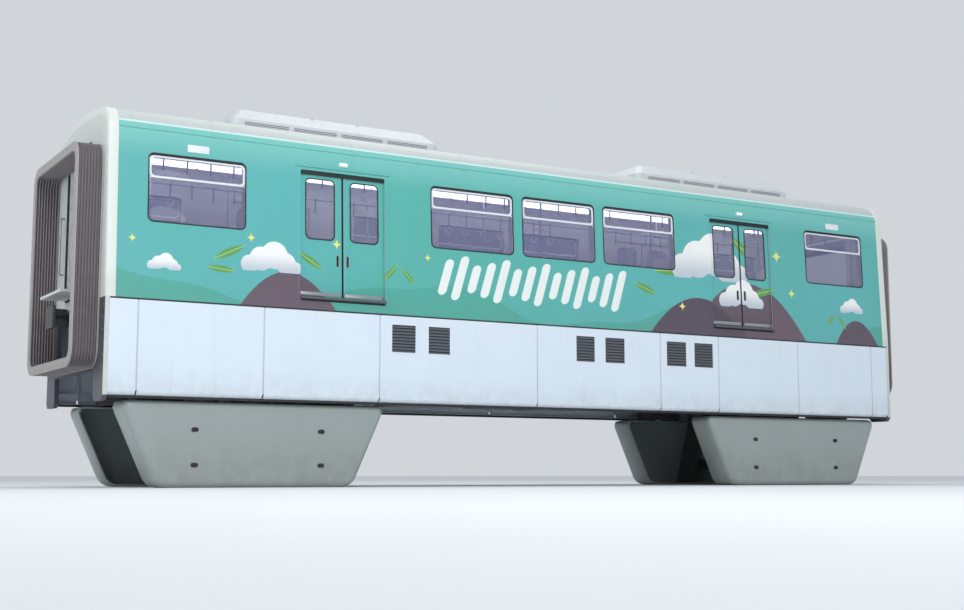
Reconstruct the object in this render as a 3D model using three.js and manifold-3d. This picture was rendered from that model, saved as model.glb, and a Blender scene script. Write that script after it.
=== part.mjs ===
// Straddle-beam monorail car, the middle car of a train.
// Millimetres, +Z up, +X to the front end, -Y to the right side.
// The origin is on the ground plane below the car's centre.

import * as THREE from "three";
import { mergeVertices } from "three/addons/utils/BufferGeometryUtils.js";
import Module from "manifold-3d";

const wasm = await Module();
wasm.setup();

// Clearance between pieces that touch
const FIT = 0.3;

// How far a cutter runs past what it cuts, and a piece into what it is joined to
const PAST = 50;
const BITE = 5;

// Body shell
const END_FACE = 6950;
const END_RING_DEPTH = 130;
const END_PANEL = 60;
const RING_START = END_FACE - END_RING_DEPTH;
const PANEL_START = END_FACE - END_PANEL;
const HALF_WIDTH = 1450;
const WALL = 105;
const WALL_FOOT = 2420;
const WALL_TOP = 4620;
const WALL_LEAN = 85;
const SHOULDER_RADIUS = 350;
const SHOULDER_TURN = THREE.MathUtils.degToRad(80);
const CEILING = 4790;
const FLOOR_TOP = 2590;
const FLOOR_UNDER = 2500;

// Side windows and doors, on the right side
const SILL = 3440;
const LINTEL = 4350;
const WINDOW_CORNER = 70;
const GLASS = { near: 1430, far: 1440, inset: 10 };
const VENT_BAR = { middle: 4040, half: 16, proud: 4 };
const INNER_SILL = { near: 1310, foot: 3415, top: 3454, inset: 80 };
const MIDDLE_WINDOWS = [
  { from: -2230, to: -833 },
  { from: -660, to: 660 },
  { from: 833, to: 2230 },
];
const END_WINDOW = { from: 5083, to: 6418 };
const DOOR_CENTRE = 3633;
const DOOR_HALF = 650;
const DOOR_TOP = 4370;
const DOOR_LAMP = { half: 60, foot: 4478, top: 4520, proud: 20 };
const DOOR_SILL = { half: 645, near: 1330, far: 1490, thick: 30 };
const DOOR_PANE = { half: 210, foot: 3420, top: 4250, corner: 60, recess: 3.5 };
const POCKET_REACH = 673;
const POCKET_TOP = 4400;
const POCKET_NEAR = 1375;
const POCKET_FAR = 1420;
const LEAF_WIDTH = 672;
const LEAF_NEAR = 1381;
const LEAF_FAR = 1414;
const LEAF_FOOT = 2596;
const LEAF_GAP = 3;

// Roof
const CEILING_LAMP = { near: 520, far: 740, half: 6500, drop: 50 };
const DRIP = { near: 1350, far: 1376, foot: 4660, edge: 4672, top: 4684 };
const UNIT = { from: 1850, to: 5150, half: 950, foot: 4800, shoulder: 5090, top: 5270, slope: 180, corner: 130 };
const FAN = { radius: 420, top: 5300, places: [2650, 4350] };

// Skirt
const SKIRT_TOP = 2398;
const SKIRT_FOOT = 1170;
const SKIRT_OUT = 1449;
const SKIRT_IN = 1409;
const SKIRT_CORNER = 20;
const SKIRT_LIP = { near: 1380, inset: 25, back: 6, thick: 22 };
const SEAM = { half: 5, depth: 12 };
const SKIRT_SEAMS = [-6520, -4800, -3070, -440, 1880, 3070, 4800, 6520];
const GRILLE_FOOT = 1880;
const GRILLE_TOP = 2280;
const GRILLE_DEPTH = 26;
const BLADES = 6;
const BLADE = { first: 6, back: 18, edge: 24, thick: 8, shy: 4 };
const GRILLES = [
  { from: -2886, to: -2501 },
  { from: -2300, to: -1940 },
  { from: 262, to: 612 },
  { from: 804, to: 1180 },
  { from: 2000, to: 2400 },
  { from: 2560, to: 2950 },
];

// Floor and bolsters
const SOLE_NEAR = 1300;
const SOLE_FOOT = 2300;
const BOLSTER_HALF = 150;
const PIN_FOOT = 1800;
const SPRING_PAD = 255;

// Bogies
const BOGIE_X = 4800;
const AXLE_X = 750;
const AXLE_Z = 1963;
const TYRE_RADIUS = 503;
const GUIDE_X = 1250;
const GUIDE_Y = 790;
const GUIDE_Z = 1230;
const STEADY_Z = 350;
const SIDE_WHEEL_RADIUS = 365;
const JOURNAL = 70;
const SPINDLE = 45;
const PIVOT_PIN = 80;
const SPRING_RADIUS = 240;
const SPRING_Y = 950;
const BOLSTER_UNDER = 2340;
const FRAME_TOP = 2120;
const COVER_OUT = 1345;
const COVER_IN = 870;
const COVER_SHEET = 25;
const COVER_TOP = 1125;
const COVER_TOP_HALF = 1900;
const COVER_FOOT_HALF = 1390;
const COVER_CORNER = 150;
const COVER_HOLE = 34;

// Ends of the car
const COUPLER_FACE = 7300;
const GANGWAY_HALF = 550;
const GANGWAY_TOP = 4540;
const APRON = { near: 1000, band: 1500, foot: 1100, chamfer: 60 };
const COUPLER_HOLE = { half: 940, foot: 1690, top: 2380, corner: 60 };
const TREAD_THICK = 35;
const BELLOWS = { half: 1200, foot: 1530, top: 4480, corner: 260, pleat: 55, thick: 105, pleats: 4 };
const COUPLER = {
  height: 2260,
  case: { from: 6300, to: 6750, half: 230, foot: 2170 },
  bar: { radius: 65, from: 6700, to: 7120 },
  head: { from: 7090, half: 130, up: 110 },
  plate: { thick: 40, half: 190, up: 150 },
};

// Finishes, one for each kind of piece
const FINISHES = {
  teal: { color: 0x5fb4ae, roughness: 0.35, metalness: 0.1 },
  bluish_white: { color: 0xe1eaf2, roughness: 0.38, metalness: 0.1 },
  cream: { color: 0xd9e2dc, roughness: 0.4, metalness: 0.1 },
  cover_grey: { color: 0x9ba5a5, roughness: 0.45, metalness: 0.1 },
  bellows_grey: { color: 0x57555a, roughness: 0.8, metalness: 0 },
  frame_grey: { color: 0x4c5054, roughness: 0.55, metalness: 0.4 },
  equipment_grey: { color: 0x5d6266, roughness: 0.55, metalness: 0.3 },
  tyre_black: { color: 0x1d1d1f, roughness: 0.85, metalness: 0 },
  glass: { color: 0x78879a, roughness: 0.06, metalness: 0, transparent: true, opacity: 0.45 },
  seat_fabric: { color: 0x3f6f86, roughness: 0.95, metalness: 0 },
  roof_grey: { color: 0xb4bab9, roughness: 0.6, metalness: 0.1 },
};

// Joining and cutting

function solid(geometry) {
  const bare = geometry.clone();
  bare.deleteAttribute("normal");
  bare.deleteAttribute("uv");
  const merged = mergeVertices(bare, 1e-3);
  const mesh = new wasm.Mesh({
    numProp: 3,
    vertProperties: new Float32Array(merged.attributes.position.array),
    triVerts: new Uint32Array(merged.index.array),
  });
  return new wasm.Manifold(mesh);
}

function geometryOf(body) {
  const mesh = body.getMesh();
  const geometry = new THREE.BufferGeometry();
  geometry.setAttribute("position", new THREE.BufferAttribute(mesh.vertProperties, 3));
  geometry.setIndex(new THREE.BufferAttribute(mesh.triVerts, 1));
  geometry.computeVertexNormals();
  return geometry;
}

function joined(bodies) {
  return bodies.reduce((whole, next) => whole.add(next));
}

// Basic solids, all in the car's axes

function block(x0, x1, y0, y1, z0, z1) {
  const geometry = new THREE.BoxGeometry(x1 - x0, y1 - y0, z1 - z0);
  geometry.translate((x0 + x1) / 2, (y0 + y1) / 2, (z0 + z1) / 2);
  return solid(geometry);
}

function shapeOf(points) {
  return new THREE.Shape(points.map(([u, v]) => new THREE.Vector2(u, v)));
}

// Two distances from the middle as rising coordinates on one side, side being 1 or -1
function spread(inner, outer, side) {
  return [side * inner, side * outer].sort((a, b) => a - b);
}

// A shape drawn in Y and Z, carried along X
function alongX(shape, x0, x1) {
  const geometry = new THREE.ExtrudeGeometry(shape, { depth: x1 - x0, bevelEnabled: false, curveSegments: 2 });
  const axes = new THREE.Matrix4().makeBasis(
    new THREE.Vector3(0, 1, 0),
    new THREE.Vector3(0, 0, 1),
    new THREE.Vector3(1, 0, 0),
  );
  geometry.applyMatrix4(axes);
  geometry.translate(x0, 0, 0);
  return solid(geometry);
}

// A shape drawn in X and Z, carried along Y, with softened edges where bevel is not 0
function alongY(shape, y0, y1, { bevel = 0, steps = 3 } = {}) {
  const geometry = new THREE.ExtrudeGeometry(shape, {
    depth: y1 - y0 - 2 * bevel,
    bevelEnabled: bevel > 0,
    bevelThickness: bevel,
    bevelSize: bevel,
    bevelOffset: -bevel,
    bevelSegments: 1,
    curveSegments: steps,
  });
  geometry.translate(0, 0, bevel);
  const axes = new THREE.Matrix4().makeBasis(
    new THREE.Vector3(1, 0, 0),
    new THREE.Vector3(0, 0, 1),
    new THREE.Vector3(0, -1, 0),
  );
  geometry.applyMatrix4(axes);
  geometry.translate(0, y1, 0);
  return solid(geometry);
}

function rodY(radius, y0, y1, x, z, sides = 24) {
  const geometry = new THREE.CylinderGeometry(radius, radius, y1 - y0, sides);
  geometry.translate(x, (y0 + y1) / 2, z);
  return solid(geometry);
}

function rodZ(radius, z0, z1, x, y, sides = 24) {
  const geometry = new THREE.CylinderGeometry(radius, radius, z1 - z0, sides);
  geometry.rotateX(Math.PI / 2);
  geometry.translate(x, y, (z0 + z1) / 2);
  return solid(geometry);
}

function rodX(radius, x0, x1, y, z, sides = 10) {
  const geometry = new THREE.CylinderGeometry(radius, radius, x1 - x0, sides);
  geometry.rotateZ(Math.PI / 2);
  geometry.translate((x0 + x1) / 2, y, z);
  return solid(geometry);
}

// The radius of a bore of that many sides whose flats clear a round of the given radius
function boreFor(radius, sides) {
  return (radius + 0.4) / Math.cos(Math.PI / sides);
}

function roundedOutline(u0, u1, v0, v1, radius, Kind = THREE.Shape) {
  const path = new Kind();
  path.moveTo(u0 + radius, v0);
  path.lineTo(u1 - radius, v0);
  path.absarc(u1 - radius, v0 + radius, radius, -Math.PI / 2, 0);
  path.lineTo(u1, v1 - radius);
  path.absarc(u1 - radius, v1 - radius, radius, 0, Math.PI / 2);
  path.lineTo(u0 + radius, v1);
  path.absarc(u0 + radius, v1 - radius, radius, Math.PI / 2, Math.PI);
  path.lineTo(u0, v0 + radius);
  path.absarc(u0 + radius, v0 + radius, radius, Math.PI, Math.PI * 1.5);
  return path;
}

// Body section: leaning sides, round shoulders and a flat crown arc, drawn in Y and Z

const LEAN_RATE = WALL_LEAN / (WALL_TOP - WALL_FOOT);
const SHOULDER_Y = HALF_WIDTH - WALL_LEAN - SHOULDER_RADIUS;
const CROWN_RADIUS = (SHOULDER_Y + SHOULDER_RADIUS * Math.cos(SHOULDER_TURN)) / Math.cos(SHOULDER_TURN);
const CROWN_CENTRE = WALL_TOP + (SHOULDER_RADIUS - CROWN_RADIUS) * Math.sin(SHOULDER_TURN);

function arcPoints(centreY, centreZ, radius, from, to, steps) {
  return Array.from({ length: steps + 1 }, (_, i) => {
    const turn = from + ((to - from) * i) / steps;
    return [centreY + radius * Math.cos(turn), centreZ + radius * Math.sin(turn)];
  });
}

function mirrored(half) {
  const other = half.map(([y, z]) => [-y, z]).reverse();
  return half.concat(other.filter(([y]) => Math.abs(y) > 1e-6));
}

// The roof's outer line from the left shoulder to the crown, moved out by grow
function roofLine(grow = 0) {
  const shoulder = arcPoints(SHOULDER_Y, WALL_TOP, SHOULDER_RADIUS + grow, 0, SHOULDER_TURN, 7);
  const crown = arcPoints(0, CROWN_CENTRE, CROWN_RADIUS + grow, SHOULDER_TURN, Math.PI / 2, 5);
  return shoulder.concat(crown.slice(1));
}

// The cabin's inner line from the left wall's top to the ceiling's middle
function ceilingLine() {
  const radius = SHOULDER_RADIUS - WALL;
  const turn = Math.asin((CEILING - WALL_TOP) / radius);
  return arcPoints(SHOULDER_Y, WALL_TOP, radius, 0, turn, 4).concat([[0, CEILING]]);
}

function leanAt(y, z) {
  return y - LEAN_RATE * (z - WALL_FOOT);
}

// Moves a piece drawn upright on the right side to the wall's lean
function leaned(geometry) {
  const place = geometry.attributes.position;
  for (let i = 0; i < place.count; i += 1) {
    place.setY(i, place.getY(i) + LEAN_RATE * (place.getZ(i) - WALL_FOOT));
  }
  geometry.computeVertexNormals();
  return geometry;
}

// The car

const car = new THREE.Group();

function add(name, geometry, finish, parent = car) {
  const mesh = new THREE.Mesh(geometry, new THREE.MeshStandardMaterial(FINISHES[finish]));
  mesh.name = name;
  parent.add(mesh);
  return mesh;
}

// The same geometry on the right side, as drawn, and on the left, half a turn round
function addBothSides(name, geometry, finish) {
  add(`${name}_right`, geometry, finish);
  add(`${name}_left`, geometry, finish).rotation.z = Math.PI;
}

// The same geometry at the front, as drawn, and at the rear, half a turn round
function addBothEnds(name, geometry, finish) {
  add(`${name}_front`, geometry, finish);
  add(`${name}_rear`, geometry, finish).rotation.z = Math.PI;
}

// Side walls

// The same stretch of the car's length at its other end
function turnedAbout({ from, to }) {
  return { from: -to, to: -from };
}

function windowHole({ from, to }) {
  return roundedOutline(from, to, SILL, LINTEL, WINDOW_CORNER, THREE.Path);
}

function sideWall() {
  const end = RING_START - FIT;
  const outline = shapeOf([[-end, WALL_FOOT], [end, WALL_FOOT], [end, WALL_TOP], [-end, WALL_TOP]]);
  outline.holes = [turnedAbout(END_WINDOW), ...MIDDLE_WINDOWS, END_WINDOW].map(windowHole);
  const out = -HALF_WIDTH;
  const inside = out + WALL;
  let wall = alongY(outline, out, inside);
  for (const centre of [-DOOR_CENTRE, DOOR_CENTRE]) {
    const [from, to] = [centre - DOOR_HALF, centre + DOOR_HALF];
    const doorway = block(from, to, out - PAST, inside + PAST, FLOOR_TOP - DOOR_SILL.thick - FIT, DOOR_TOP);
    const [pocketFrom, pocketTo] = [from - POCKET_REACH, to + POCKET_REACH];
    const pocket = block(pocketFrom, pocketTo, -POCKET_FAR, -POCKET_NEAR, FLOOR_TOP, POCKET_TOP);
    const { half, foot, top, proud } = DOOR_LAMP;
    const lamp = block(centre - half, centre + half, out - proud, out + BITE, foot, top);
    wall = wall.subtract(doorway).subtract(pocket).add(lamp);
  }
  return leaned(geometryOf(wall));
}

addBothSides("side_wall", sideWall(), "teal");

// Window panes, each with its vent bar, standing on an inner sill

function windowPane({ from, to }) {
  const outline = roundedOutline(from + FIT, to - FIT, SILL + FIT, LINTEL - FIT, WINDOW_CORNER);
  const glass = alongY(outline, -GLASS.far, -GLASS.near);
  const [x0, x1] = [from + GLASS.inset, to - GLASS.inset];
  const { middle, half, proud } = VENT_BAR;
  const bar = block(x0, x1, -GLASS.far - proud, -GLASS.near + proud, middle - half, middle + half);
  const [shelfFrom, shelfTo] = [from + INNER_SILL.inset, to - INNER_SILL.inset];
  const shelfIn = -(HALF_WIDTH - WALL) + 2 * BITE;
  const shelf = block(shelfFrom, shelfTo, -GLASS.far + 1, shelfIn, SILL + FIT, INNER_SILL.top);
  return joined([glass, bar, shelf]);
}

function windowSet(windows) {
  const first = windows[0].from;
  const last = windows[windows.length - 1].to;
  const { near, foot, top } = INNER_SILL;
  const sill = block(first, last, -(HALF_WIDTH - WALL) + FIT, -near, foot, top);
  return leaned(geometryOf(joined([sill, ...windows.map(windowPane)])));
}

addBothSides("window_middle", windowSet(MIDDLE_WINDOWS), "glass");
const endWindow = windowSet([END_WINDOW]);
add("window_front_right", endWindow, "glass");
add("window_rear_left", endWindow, "glass").rotation.z = Math.PI;
const rearWindow = windowSet([turnedAbout(END_WINDOW)]);
add("window_rear_right", rearWindow, "glass");
add("window_front_left", rearWindow, "glass").rotation.z = Math.PI;

// Roof with its drip mouldings and ceiling lamp strips

function roof() {
  const line = roofLine();
  const foot = WALL_TOP + FIT;
  line[0][1] = foot;
  const inner = ceilingLine();
  inner[0][1] = foot;
  const outline = mirrored(line).concat(mirrored(inner).reverse());
  const length = RING_START - FIT;
  const parts = [alongX(shapeOf(outline), -length, length)];
  for (const side of [-1, 1]) {
    const lampY = spread(CEILING_LAMP.near, CEILING_LAMP.far, side);
    const reach = CEILING_LAMP.half;
    parts.push(block(-reach, reach, lampY[0], lampY[1], CEILING - CEILING_LAMP.drop, CEILING + BITE));
    const { near, far, foot, edge, top } = DRIP;
    const drip = shapeOf([[side * near, foot], [side * far, foot], [side * far, edge], [side * near, top]]);
    parts.push(alongX(drip, -length, length));
  }
  return geometryOf(joined(parts));
}

add("roof", roof(), "roof_grey");

// Roof air conditioners

function airConditioner() {
  const { from, to, half, corner, foot, shoulder, top, slope } = UNIT;
  const section = roundedOutline(-half, half, foot - corner, top, corner);
  const length = shapeOf([
    [from, foot],
    [to, foot],
    [to, shoulder],
    [to - slope, top],
    [from + slope, top],
    [from, shoulder],
  ]);
  const belowRoof = [[-HALF_WIDTH, FLOOR_TOP], [HALF_WIDTH, FLOOR_TOP]].concat(mirrored(roofLine(FIT)));
  let unit = alongX(section, from, to).intersect(alongY(length, -half - PAST, half + PAST));
  unit = unit.subtract(alongX(shapeOf(belowRoof), from - PAST, to + PAST));
  return geometryOf(joined([unit, ...FAN.places.map((x) => rodZ(FAN.radius, top - BITE, FAN.top, x, 0))]));
}

addBothEnds("air_conditioner", airConditioner(), "bluish_white");

// Floor with sole bars and door sills

function floor() {
  const plateTop = leanAt(HALF_WIDTH - WALL, FLOOR_TOP) - FIT;
  const plateFoot = leanAt(HALF_WIDTH - WALL, WALL_FOOT) - FIT;
  const half = [
    [SOLE_NEAR, FLOOR_UNDER],
    [SOLE_NEAR, SOLE_FOOT],
    [SKIRT_IN, SOLE_FOOT],
    [SKIRT_IN, WALL_FOOT - FIT],
    [plateFoot, WALL_FOOT - FIT],
    [plateTop, FLOOR_TOP],
  ];
  const length = PANEL_START - FIT;
  const parts = [alongX(shapeOf(mirrored(half)), -length, length)];
  const { near, far, thick } = DOOR_SILL;
  for (const end of [-1, 1]) {
    const sillX = end * DOOR_CENTRE;
    const [from, to] = [sillX - DOOR_SILL.half, sillX + DOOR_SILL.half];
    for (const side of [-1, 1]) {
      const sillY = spread(near, far, side);
      parts.push(block(from, to, sillY[0], sillY[1], FLOOR_TOP - thick, FLOOR_TOP));
    }
  }
  return geometryOf(joined(parts));
}

add("floor", floor(), "equipment_grey");

// Bolsters across the car, each with its pads over the air springs and its pivot pin

function bolster() {
  const top = FLOOR_UNDER - FIT;
  const reach = SOLE_NEAR - FIT;
  const parts = [
    block(BOGIE_X - BOLSTER_HALF, BOGIE_X + BOLSTER_HALF, -reach, reach, BOLSTER_UNDER, top),
    rodZ(PIVOT_PIN, PIN_FOOT, BOLSTER_UNDER + BITE, BOGIE_X, 0, 12),
  ];
  for (const side of [-1, 1]) {
    const [from, to] = spread(SPRING_Y - SPRING_PAD, SPRING_Y + SPRING_PAD, side);
    parts.push(block(BOGIE_X - SPRING_PAD, BOGIE_X + SPRING_PAD, from, to, BOLSTER_UNDER, top));
  }
  return geometryOf(joined(parts));
}

addBothEnds("bolster", bolster(), "equipment_grey");

// End walls: a deep frame, a panel with the gangway door, lower aprons and a foot plate

function endWall() {
  const foot = WALL_FOOT;
  const under = foot - 2 * BITE;
  const outer = [[HALF_WIDTH, foot], ...roofLine()];
  const inner = [[leanAt(HALF_WIDTH - WALL, under), under], ...ceilingLine()];
  let wall = alongX(shapeOf(mirrored(outer)), RING_START, END_FACE);
  wall = wall.subtract(alongX(shapeOf(mirrored(inner)), RING_START - PAST, PANEL_START));
  const { near, band, chamfer } = APRON;
  const apron = shapeOf(mirrored([
    [near, band],
    [near, APRON.foot + chamfer],
    [near + chamfer, APRON.foot],
    [SKIRT_OUT - chamfer, APRON.foot],
    [SKIRT_OUT, APRON.foot + chamfer],
    [SKIRT_OUT, foot + BITE],
  ]));
  const { half, corner } = COUPLER_HOLE;
  apron.holes = [roundedOutline(-half, half, COUPLER_HOLE.foot, COUPLER_HOLE.top, corner, THREE.Path)];
  wall = wall.add(alongX(apron, PANEL_START, END_FACE));
  const [doorFrom, doorTo] = [PANEL_START - BITE, END_FACE + BITE];
  wall = wall.subtract(block(doorFrom, doorTo, -GANGWAY_HALF, GANGWAY_HALF, FLOOR_TOP, GANGWAY_TOP));
  const treadFoot = FLOOR_TOP - TREAD_THICK;
  const tread = block(END_FACE - BITE, COUPLER_FACE, -GANGWAY_HALF, GANGWAY_HALF, treadFoot, FLOOR_TOP);
  return geometryOf(wall.add(tread));
}

addBothEnds("end_wall", endWall(), "cream");

// Gangway bellows: a pleated ring, its fold lines set in by the pleat's depth

function ringLoop(x, inset) {
  const { half, foot, top, corner } = BELLOWS;
  const radius = corner - inset;
  const y = half - inset - radius;
  const corners = [
    { y, z: top - inset - radius, from: 0 },
    { y: -y, z: top - inset - radius, from: 1 },
    { y: -y, z: foot + inset + radius, from: 2 },
    { y, z: foot + inset + radius, from: 3 },
  ];
  return corners.flatMap((at) => {
    const from = (at.from * Math.PI) / 2;
    return arcPoints(at.y, at.z, radius, from, from + Math.PI / 2, 4).map(([py, pz]) => [x, py, pz]);
  });
}

// Loops joined one after another, and the last to the first, make a closed ring
function ringOf(loops) {
  const count = loops[0].length;
  const index = [];
  loops.forEach((_, i) => {
    const next = (i + 1) % loops.length;
    for (let j = 0; j < count; j += 1) {
      const k = (j + 1) % count;
      const [a, b, c, d] = [i * count + j, i * count + k, next * count + k, next * count + j];
      index.push(a, b, c, a, c, d);
    }
  });
  const geometry = new THREE.BufferGeometry();
  geometry.setAttribute("position", new THREE.Float32BufferAttribute(loops.flat(2), 3));
  geometry.setIndex(index);
  geometry.computeVertexNormals();
  return geometry;
}

function bellows() {
  const { pleat, pleats, thick } = BELLOWS;
  const start = END_FACE + FIT;
  const step = (COUPLER_FACE - start) / (2 * pleats);
  const loops = [];
  for (let i = 0; i <= 2 * pleats; i += 1) {
    loops.push(ringLoop(start + step * i, i % 2 === 1 ? pleat : 0));
  }
  const inset = pleat + thick;
  loops.push(ringLoop(COUPLER_FACE, inset), ringLoop(start, inset));
  return ringOf(loops);
}

addBothEnds("gangway_bellows", bellows(), "bellows_grey");

// Skirts: panels with grooves at their seams, a turned-in foot and louvred grilles

function skirt() {
  const length = PANEL_START - FIT;
  const outline = roundedOutline(-length, length, SKIRT_FOOT, SKIRT_TOP, SKIRT_CORNER);
  const panelOut = -SKIRT_OUT;
  const { near, inset, back, thick } = SKIRT_LIP;
  const lip = block(-length + inset, length - inset, panelOut + back, -near, SKIRT_FOOT, SKIRT_FOOT + thick);
  let panel = alongY(outline, panelOut, -SKIRT_IN - FIT).add(lip);
  for (const seam of SKIRT_SEAMS) {
    const [from, to] = [seam - SEAM.half, seam + SEAM.half];
    const groove = block(from, to, panelOut - PAST, panelOut + SEAM.depth, SKIRT_FOOT - PAST, SKIRT_TOP + PAST);
    panel = panel.subtract(groove);
  }
  const wellFloor = panelOut + GRILLE_DEPTH;
  const pitch = (GRILLE_TOP - GRILLE_FOOT) / BLADES;
  for (const { from, to } of GRILLES) {
    panel = panel.subtract(block(from, to, panelOut - PAST, wellFloor, GRILLE_FOOT, GRILLE_TOP));
    for (let i = 0; i < BLADES; i += 1) {
      const z = GRILLE_TOP - pitch * i - BLADE.first;
      const blade = shapeOf([
        [wellFloor + 1, z],
        [panelOut + BLADE.shy, z - BLADE.edge],
        [panelOut + BLADE.shy, z - BLADE.edge - BLADE.thick],
        [wellFloor + 1, z - BLADE.back],
      ]);
      panel = panel.add(alongX(blade, from - 1, to + 1));
    }
  }
  return geometryOf(panel);
}

addBothSides("skirt", skirt(), "bluish_white");

// Sliding door leaves, two at each doorway, each with a fixed pane, running in the pocket's top

function doorLeaf(x0, x1) {
  const middle = (x0 + x1) / 2;
  const { half, foot, top, corner, recess } = DOOR_PANE;
  const pane = roundedOutline(middle - half, middle + half, foot, top, corner);
  const leaf = block(x0, x1, -LEAF_FAR, -LEAF_NEAR, LEAF_FOOT, POCKET_TOP - FIT);
  const sunk = alongY(pane, -LEAF_FAR - PAST, -LEAF_FAR + recess, { steps: 2 });
  return leaned(geometryOf(leaf.subtract(sunk)));
}

for (const end of ["front", "rear"]) {
  const centre = end === "front" ? DOOR_CENTRE : -DOOR_CENTRE;
  const opposite = end === "front" ? "rear" : "front";
  const rearward = doorLeaf(centre - LEAF_GAP - LEAF_WIDTH, centre - LEAF_GAP);
  const forward = doorLeaf(centre + LEAF_GAP, centre + LEAF_GAP + LEAF_WIDTH);
  add(`door_${end}_right_rearward`, rearward, "teal");
  add(`door_${end}_right_forward`, forward, "teal");
  add(`door_${opposite}_left_forward`, rearward, "teal").rotation.z = Math.PI;
  add(`door_${opposite}_left_rearward`, forward, "teal").rotation.z = Math.PI;
}

// Seats along the walls, with their stanchions and the grab rail that joins them

const GRAB_RAIL = { y: -880, z: 4450, radius: 17, half: 6700, hangers: [-6400, -3633, 0, 3633, 6400] };
const BENCH_BAY = 2200;
const BACK_TOP = 3400;
const BENCHES = [
  { from: -6740, to: -4460 },
  { from: -2200, to: 2200 },
  { from: 4460, to: 6740 },
];

function seating() {
  const back = HALF_WIDTH - WALL - FIT;
  const floorLine = FLOOR_TOP + FIT;
  const backTop = -leanAt(back, BACK_TOP);
  const section = [
    [-leanAt(back, FLOOR_TOP), floorLine],
    [backTop, BACK_TOP],
    [backTop + 60, BACK_TOP],
    [-1190, 3060],
    [-850, 3070],
    [-830, 3040],
    [-830, 2980],
    [-870, 2960],
    [-1080, 2950],
    [-1110, floorLine],
  ];
  const { y, z, radius, half, hangers } = GRAB_RAIL;
  const parts = [rodX(radius, -half, half, y, z, 8)];
  for (const { from, to } of BENCHES) {
    parts.push(alongX(shapeOf(section), from, to));
    const bays = Math.round((to - from) / BENCH_BAY);
    const [first, last] = [from + 2 * radius, to - 2 * radius];
    for (let i = 0; i <= bays; i += 1) {
      parts.push(rodZ(radius, 3050, z + BITE, first + ((last - first) * i) / bays, y, 8));
    }
  }
  for (const x of hangers) {
    parts.push(rodZ(radius, z - BITE, CEILING - FIT, x, y, 8));
  }
  return geometryOf(joined(parts));
}

addBothSides("seats", seating(), "seat_fabric");

// Equipment cases under the floor, hung from cross bearers

const CASE = { near: 560, far: 1290, top: 2410 };
const DUCT = { near: 500, far: 580, half: 2700, foot: 2350, top: 2430 };
const BEARER_HALF = 60;
const BEARERS = [-2300, -1100, 200, 1300, 2300];
const CASES = [
  { from: -2700, to: -1850, foot: 1330 },
  { from: -1800, to: -420, foot: 1260 },
  { from: -370, to: 760, foot: 1300 },
  { from: 810, to: 1800, foot: 1260 },
  { from: 1850, to: 2700, foot: 1330 },
];

function equipment() {
  const [bearerFoot, bearerTop] = [CASE.top - 10, FLOOR_UNDER - FIT];
  const parts = BEARERS.map((x) => {
    return block(x - BEARER_HALF, x + BEARER_HALF, -CASE.far, CASE.far, bearerFoot, bearerTop);
  });
  for (const side of [-1, 1]) {
    const caseY = spread(CASE.near, CASE.far, side);
    const ductY = spread(DUCT.near, DUCT.far, side);
    parts.push(block(-DUCT.half, DUCT.half, ductY[0], ductY[1], DUCT.foot, DUCT.top));
    for (const { from, to, foot } of CASES) {
      parts.push(block(from, to, caseY[0], caseY[1], foot, CASE.top));
    }
  }
  return geometryOf(joined(parts));
}

add("underfloor_equipment", equipment(), "equipment_grey");

// Couplers: a draw gear case under the floor, a draw bar and a flat-faced head

function coupler() {
  const { height, bar, head, plate } = COUPLER;
  const box = COUPLER.case;
  const face = COUPLER_FACE;
  return geometryOf(joined([
    block(box.from, box.to, -box.half, box.half, box.foot, FLOOR_UNDER - FIT),
    rodX(bar.radius, bar.from, bar.to, 0, height, 12),
    block(head.from, face, -head.half, head.half, height - head.up, height + head.up),
    block(face - plate.thick, face, -plate.half, plate.half, height - plate.up, height + plate.up),
  ]));
}

addBothEnds("coupler", coupler(), "frame_grey");

// Bogie pieces, drawn round the bogie's own centre

const RAIL = { near: 450, far: 600, foot: 1800, half: 1560, flat: 1300, rise: 70 };
const TRANSOM = { half: 200, reach: 460, foot: 1760, top: 2060 };
const SPRING_SEAT = { half: 260, near: 590, far: 1200, foot: 1990 };
const BRIDGE = { half: 430, near: 650, far: 930, foot: 600, top: 720 };
const LEG = { near: 420, far: 500, top: 1810 };
const MOTOR = { radius: 230, near: 595, far: 1130 };
const ARM = { half: 120, near: 560, far: 900, foot: 1500, top: 1900 };
const HEAD_STOCK = { near: 1430, far: 1550, foot: 1880, top: 2040 };

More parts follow.
